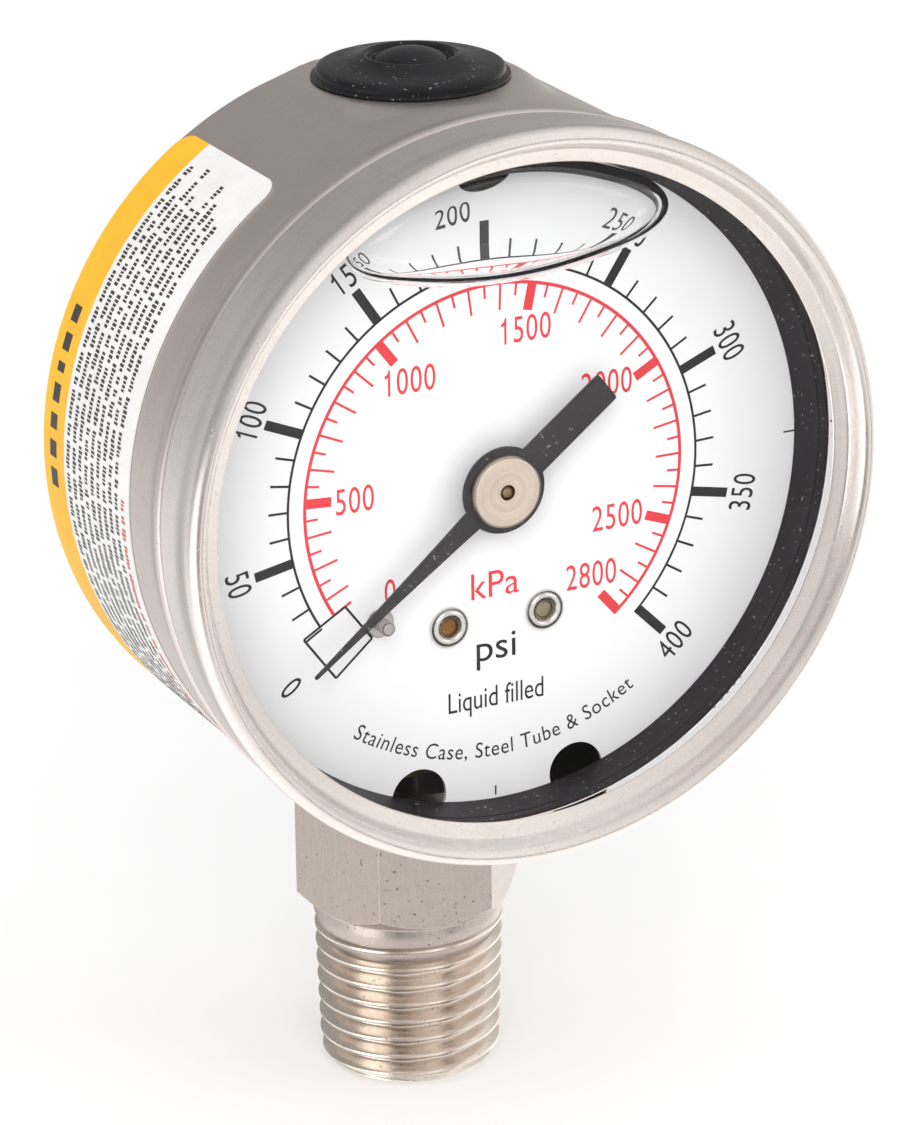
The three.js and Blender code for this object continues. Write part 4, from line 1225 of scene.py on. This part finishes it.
# ---------------------------------------------------------------- CAD pieces that stay
KEPT = [
    (RUBBER, "socket_seal"),
    (TUBE_STEEL, "bourdon_tube"),
    (BRONZE, "hairspring"),
    (BRASS, """dial_spacer_left dial_spacer_right movement_front_plate movement_rear_plate
        pillar_upper_left pillar_upper_right pillar_lower_left pillar_lower_right
        hairspring_stud pinion_gear hairspring_collet sector_gear"""),
    (SMALL_STEEL, """case_screw_left case_screw_right movement_screw_upper_left
        movement_screw_upper_right movement_screw_lower_left movement_screw_lower_right
        plate_screw_left plate_screw_right sector_shaft tail_pin link tube_tip tip_pin"""),
]
for material, names in KEPT:
    for name in names.split():
        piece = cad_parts[name]
        if not piece.data.materials:
            piece.data.materials.append(material)
        for material_slot in piece.material_slots:
            material_slot.material = material


# ---------------------------------------------------------------- floor
def build_floor():
    material, sh, co = principled("floor_pale")
    clouds = sh.noise(co, scale=30.0, detail=3.0, rough=0.5)
    sh.fill(sh.surface, {
        "Base Color": sh.ramp(clouds, span=(0.3, 0.7), to=(0.955, 0.975)),
        "Roughness": 0.9, "Specular IOR Level": 0.1})
    z = -49.46 * MM                        # just under the end of the thread
    mesh = bpy.data.meshes.new("floor")
    mesh.from_pydata([(-4, -4, z), (4, -4, z), (4, 6, z), (-4, 6, z)], [], [(0, 1, 2, 3)])
    mesh.materials.append(material)
    floor = bpy.data.objects.new("floor", mesh)
    scene.collection.objects.link(floor)
    floor.visible_glossy = False


# ---------------------------------------------------------------- world
GLOSSY_BASE = 0.42
# what polished metal mirrors: direction, cosine where it starts, cosine where full, gain
GLOSSY = [
    ((0.0, 0.0, -1.0), 0.0, 1.0, 0.95),                 # pale table
    ((0.0, -0.80, 0.60), 0.30, 0.95, 0.52),             # front, above
    ((0.95, -0.25, 0.05), 0.30, 0.95, 0.45),            # right
    ((0.80, 0.50, -0.33), 0.80, 0.97, 0.60),            # right, behind
    ((-0.62, 0.55, -0.56), 0.70, 0.98, 0.30),           # left, behind, low
    ((-0.54, 0.84, 0.04), 0.86, 0.99, 0.18),            # left, far behind
    ((0.0, 0.84, -0.54), 0.92, 0.99, -0.28),            # darker edge of the table
    ((0.42, 0.13, 0.86), 0.78, 0.98, 0.34),             # ceiling light
    ((-0.90, -0.20, -0.32), 0.905, 0.965, 1.66),        # soft box on the left
    ((-0.62, -0.72, -0.33), 0.93, 0.985, -0.45),        # gap between the boxes
    ((0.15, -0.93, -0.33), 0.955, 0.99, 0.45),          # low front box
    ((0.42, -0.84, -0.343), 0.976, 0.994, -0.85),       # dark room that the window mirrors
]


def build_world():
    """White to the camera, a soft sky to diffuse rays, the lobes above to glossy rays."""
    world = bpy.data.worlds.new("studio")
    scene.world = world
    sh, output = emptied(world, "ShaderNodeOutputWorld")
    background = sh.node("ShaderNodeBackground")
    sh.fill(output, {0: background.outputs[0]})
    co = sh.coords("Generated")

    def lobe(direction, start, full, gain):
        dot = sh.node("ShaderNodeVectorMath", {0: co, 1: Vector(direction).normalized()},
                      operation="DOT_PRODUCT")
        return sh.mask(dot.outputs["Value"], (start, full), gain)

    def choose(fac, a, b):
        return sh.node("ShaderNodeMix", {0: fac, 2: a, 3: b}, data_type="FLOAT").outputs[0]

    total = lobe(*GLOSSY[0])
    for entry in GLOSSY[1:]:
        total = sh.calc("ADD", total, lobe(*entry))
    glossy = sh.calc("MAXIMUM", sh.calc("ADD", total, GLOSSY_BASE), 0.02)
    sky = lobe((-0.35, -0.75, 0.55), start=-0.4, full=1.0, gain=0.40)
    diffuse = sh.calc("ADD", sky, 0.75)
    rays = sh.node("ShaderNodeLightPath").outputs
    to_camera = sh.calc("MAXIMUM", rays["Is Camera Ray"], 0.0)
    to_glossy = rays["Is Glossy Ray"]
    white, warm_white = (1.0, 1.0, 1.0), (1.0, 0.985, 0.97)
    sh.fill(background, {
        "Color": sh.mix(to_glossy, white, warm_white),
        "Strength": choose(to_camera, choose(to_glossy, diffuse, glossy), 1.0)})
    world.cycles.sampling_method = "NONE"


# ---------------------------------------------------------------- lights and camera, in metres
def area_light(name, location, size, power):
    """Square lamp aimed at the origin, hidden from reflections."""
    light = bpy.data.lights.new(name, "AREA")
    light.shape = "RECTANGLE"
    light.size = size
    light.size_y = size
    light.energy = power
    ob = bpy.data.objects.new(name, light)
    ob.location = location
    ob.rotation_euler = (-Vector(location)).to_track_quat("-Z", "Y").to_euler()
    ob.visible_glossy = False
    scene.collection.objects.link(ob)


def build_camera():
    camera = bpy.data.cameras.new("camera")
    camera.sensor_fit = "HORIZONTAL"
    camera.sensor_width = 36.0
    camera.lens = 196.06
    camera.shift_x = -0.0211
    camera.shift_y = -0.0376
    camera.clip_start = 0.01
    camera.clip_end = 20.0
    ob = bpy.data.objects.new("camera", camera)
    right = (0.892466, -0.451004, -0.00999)
    up = (0.163107, 0.301958, 0.939264)
    forward = (0.420595, 0.839891, -0.343049)
    location = (-0.146131, -0.308961, 0.114189)
    rows = [[r, u, -f, p] for r, u, f, p in zip(right, up, forward, location)]
    ob.matrix_world = Matrix(rows + [[0, 0, 0, 1]])
    scene.collection.objects.link(ob)
    scene.camera = ob


build_floor()
build_world()
area_light("key_soft", location=(-0.15, -0.36, 0.20), size=0.26, power=0.60)
area_light("fill_soft", location=(0.70, -0.55, 0.35), size=0.6, power=1.4)
build_camera()
scene.view_settings.view_transform = "Standard"

bpy.context.view_layer.update()
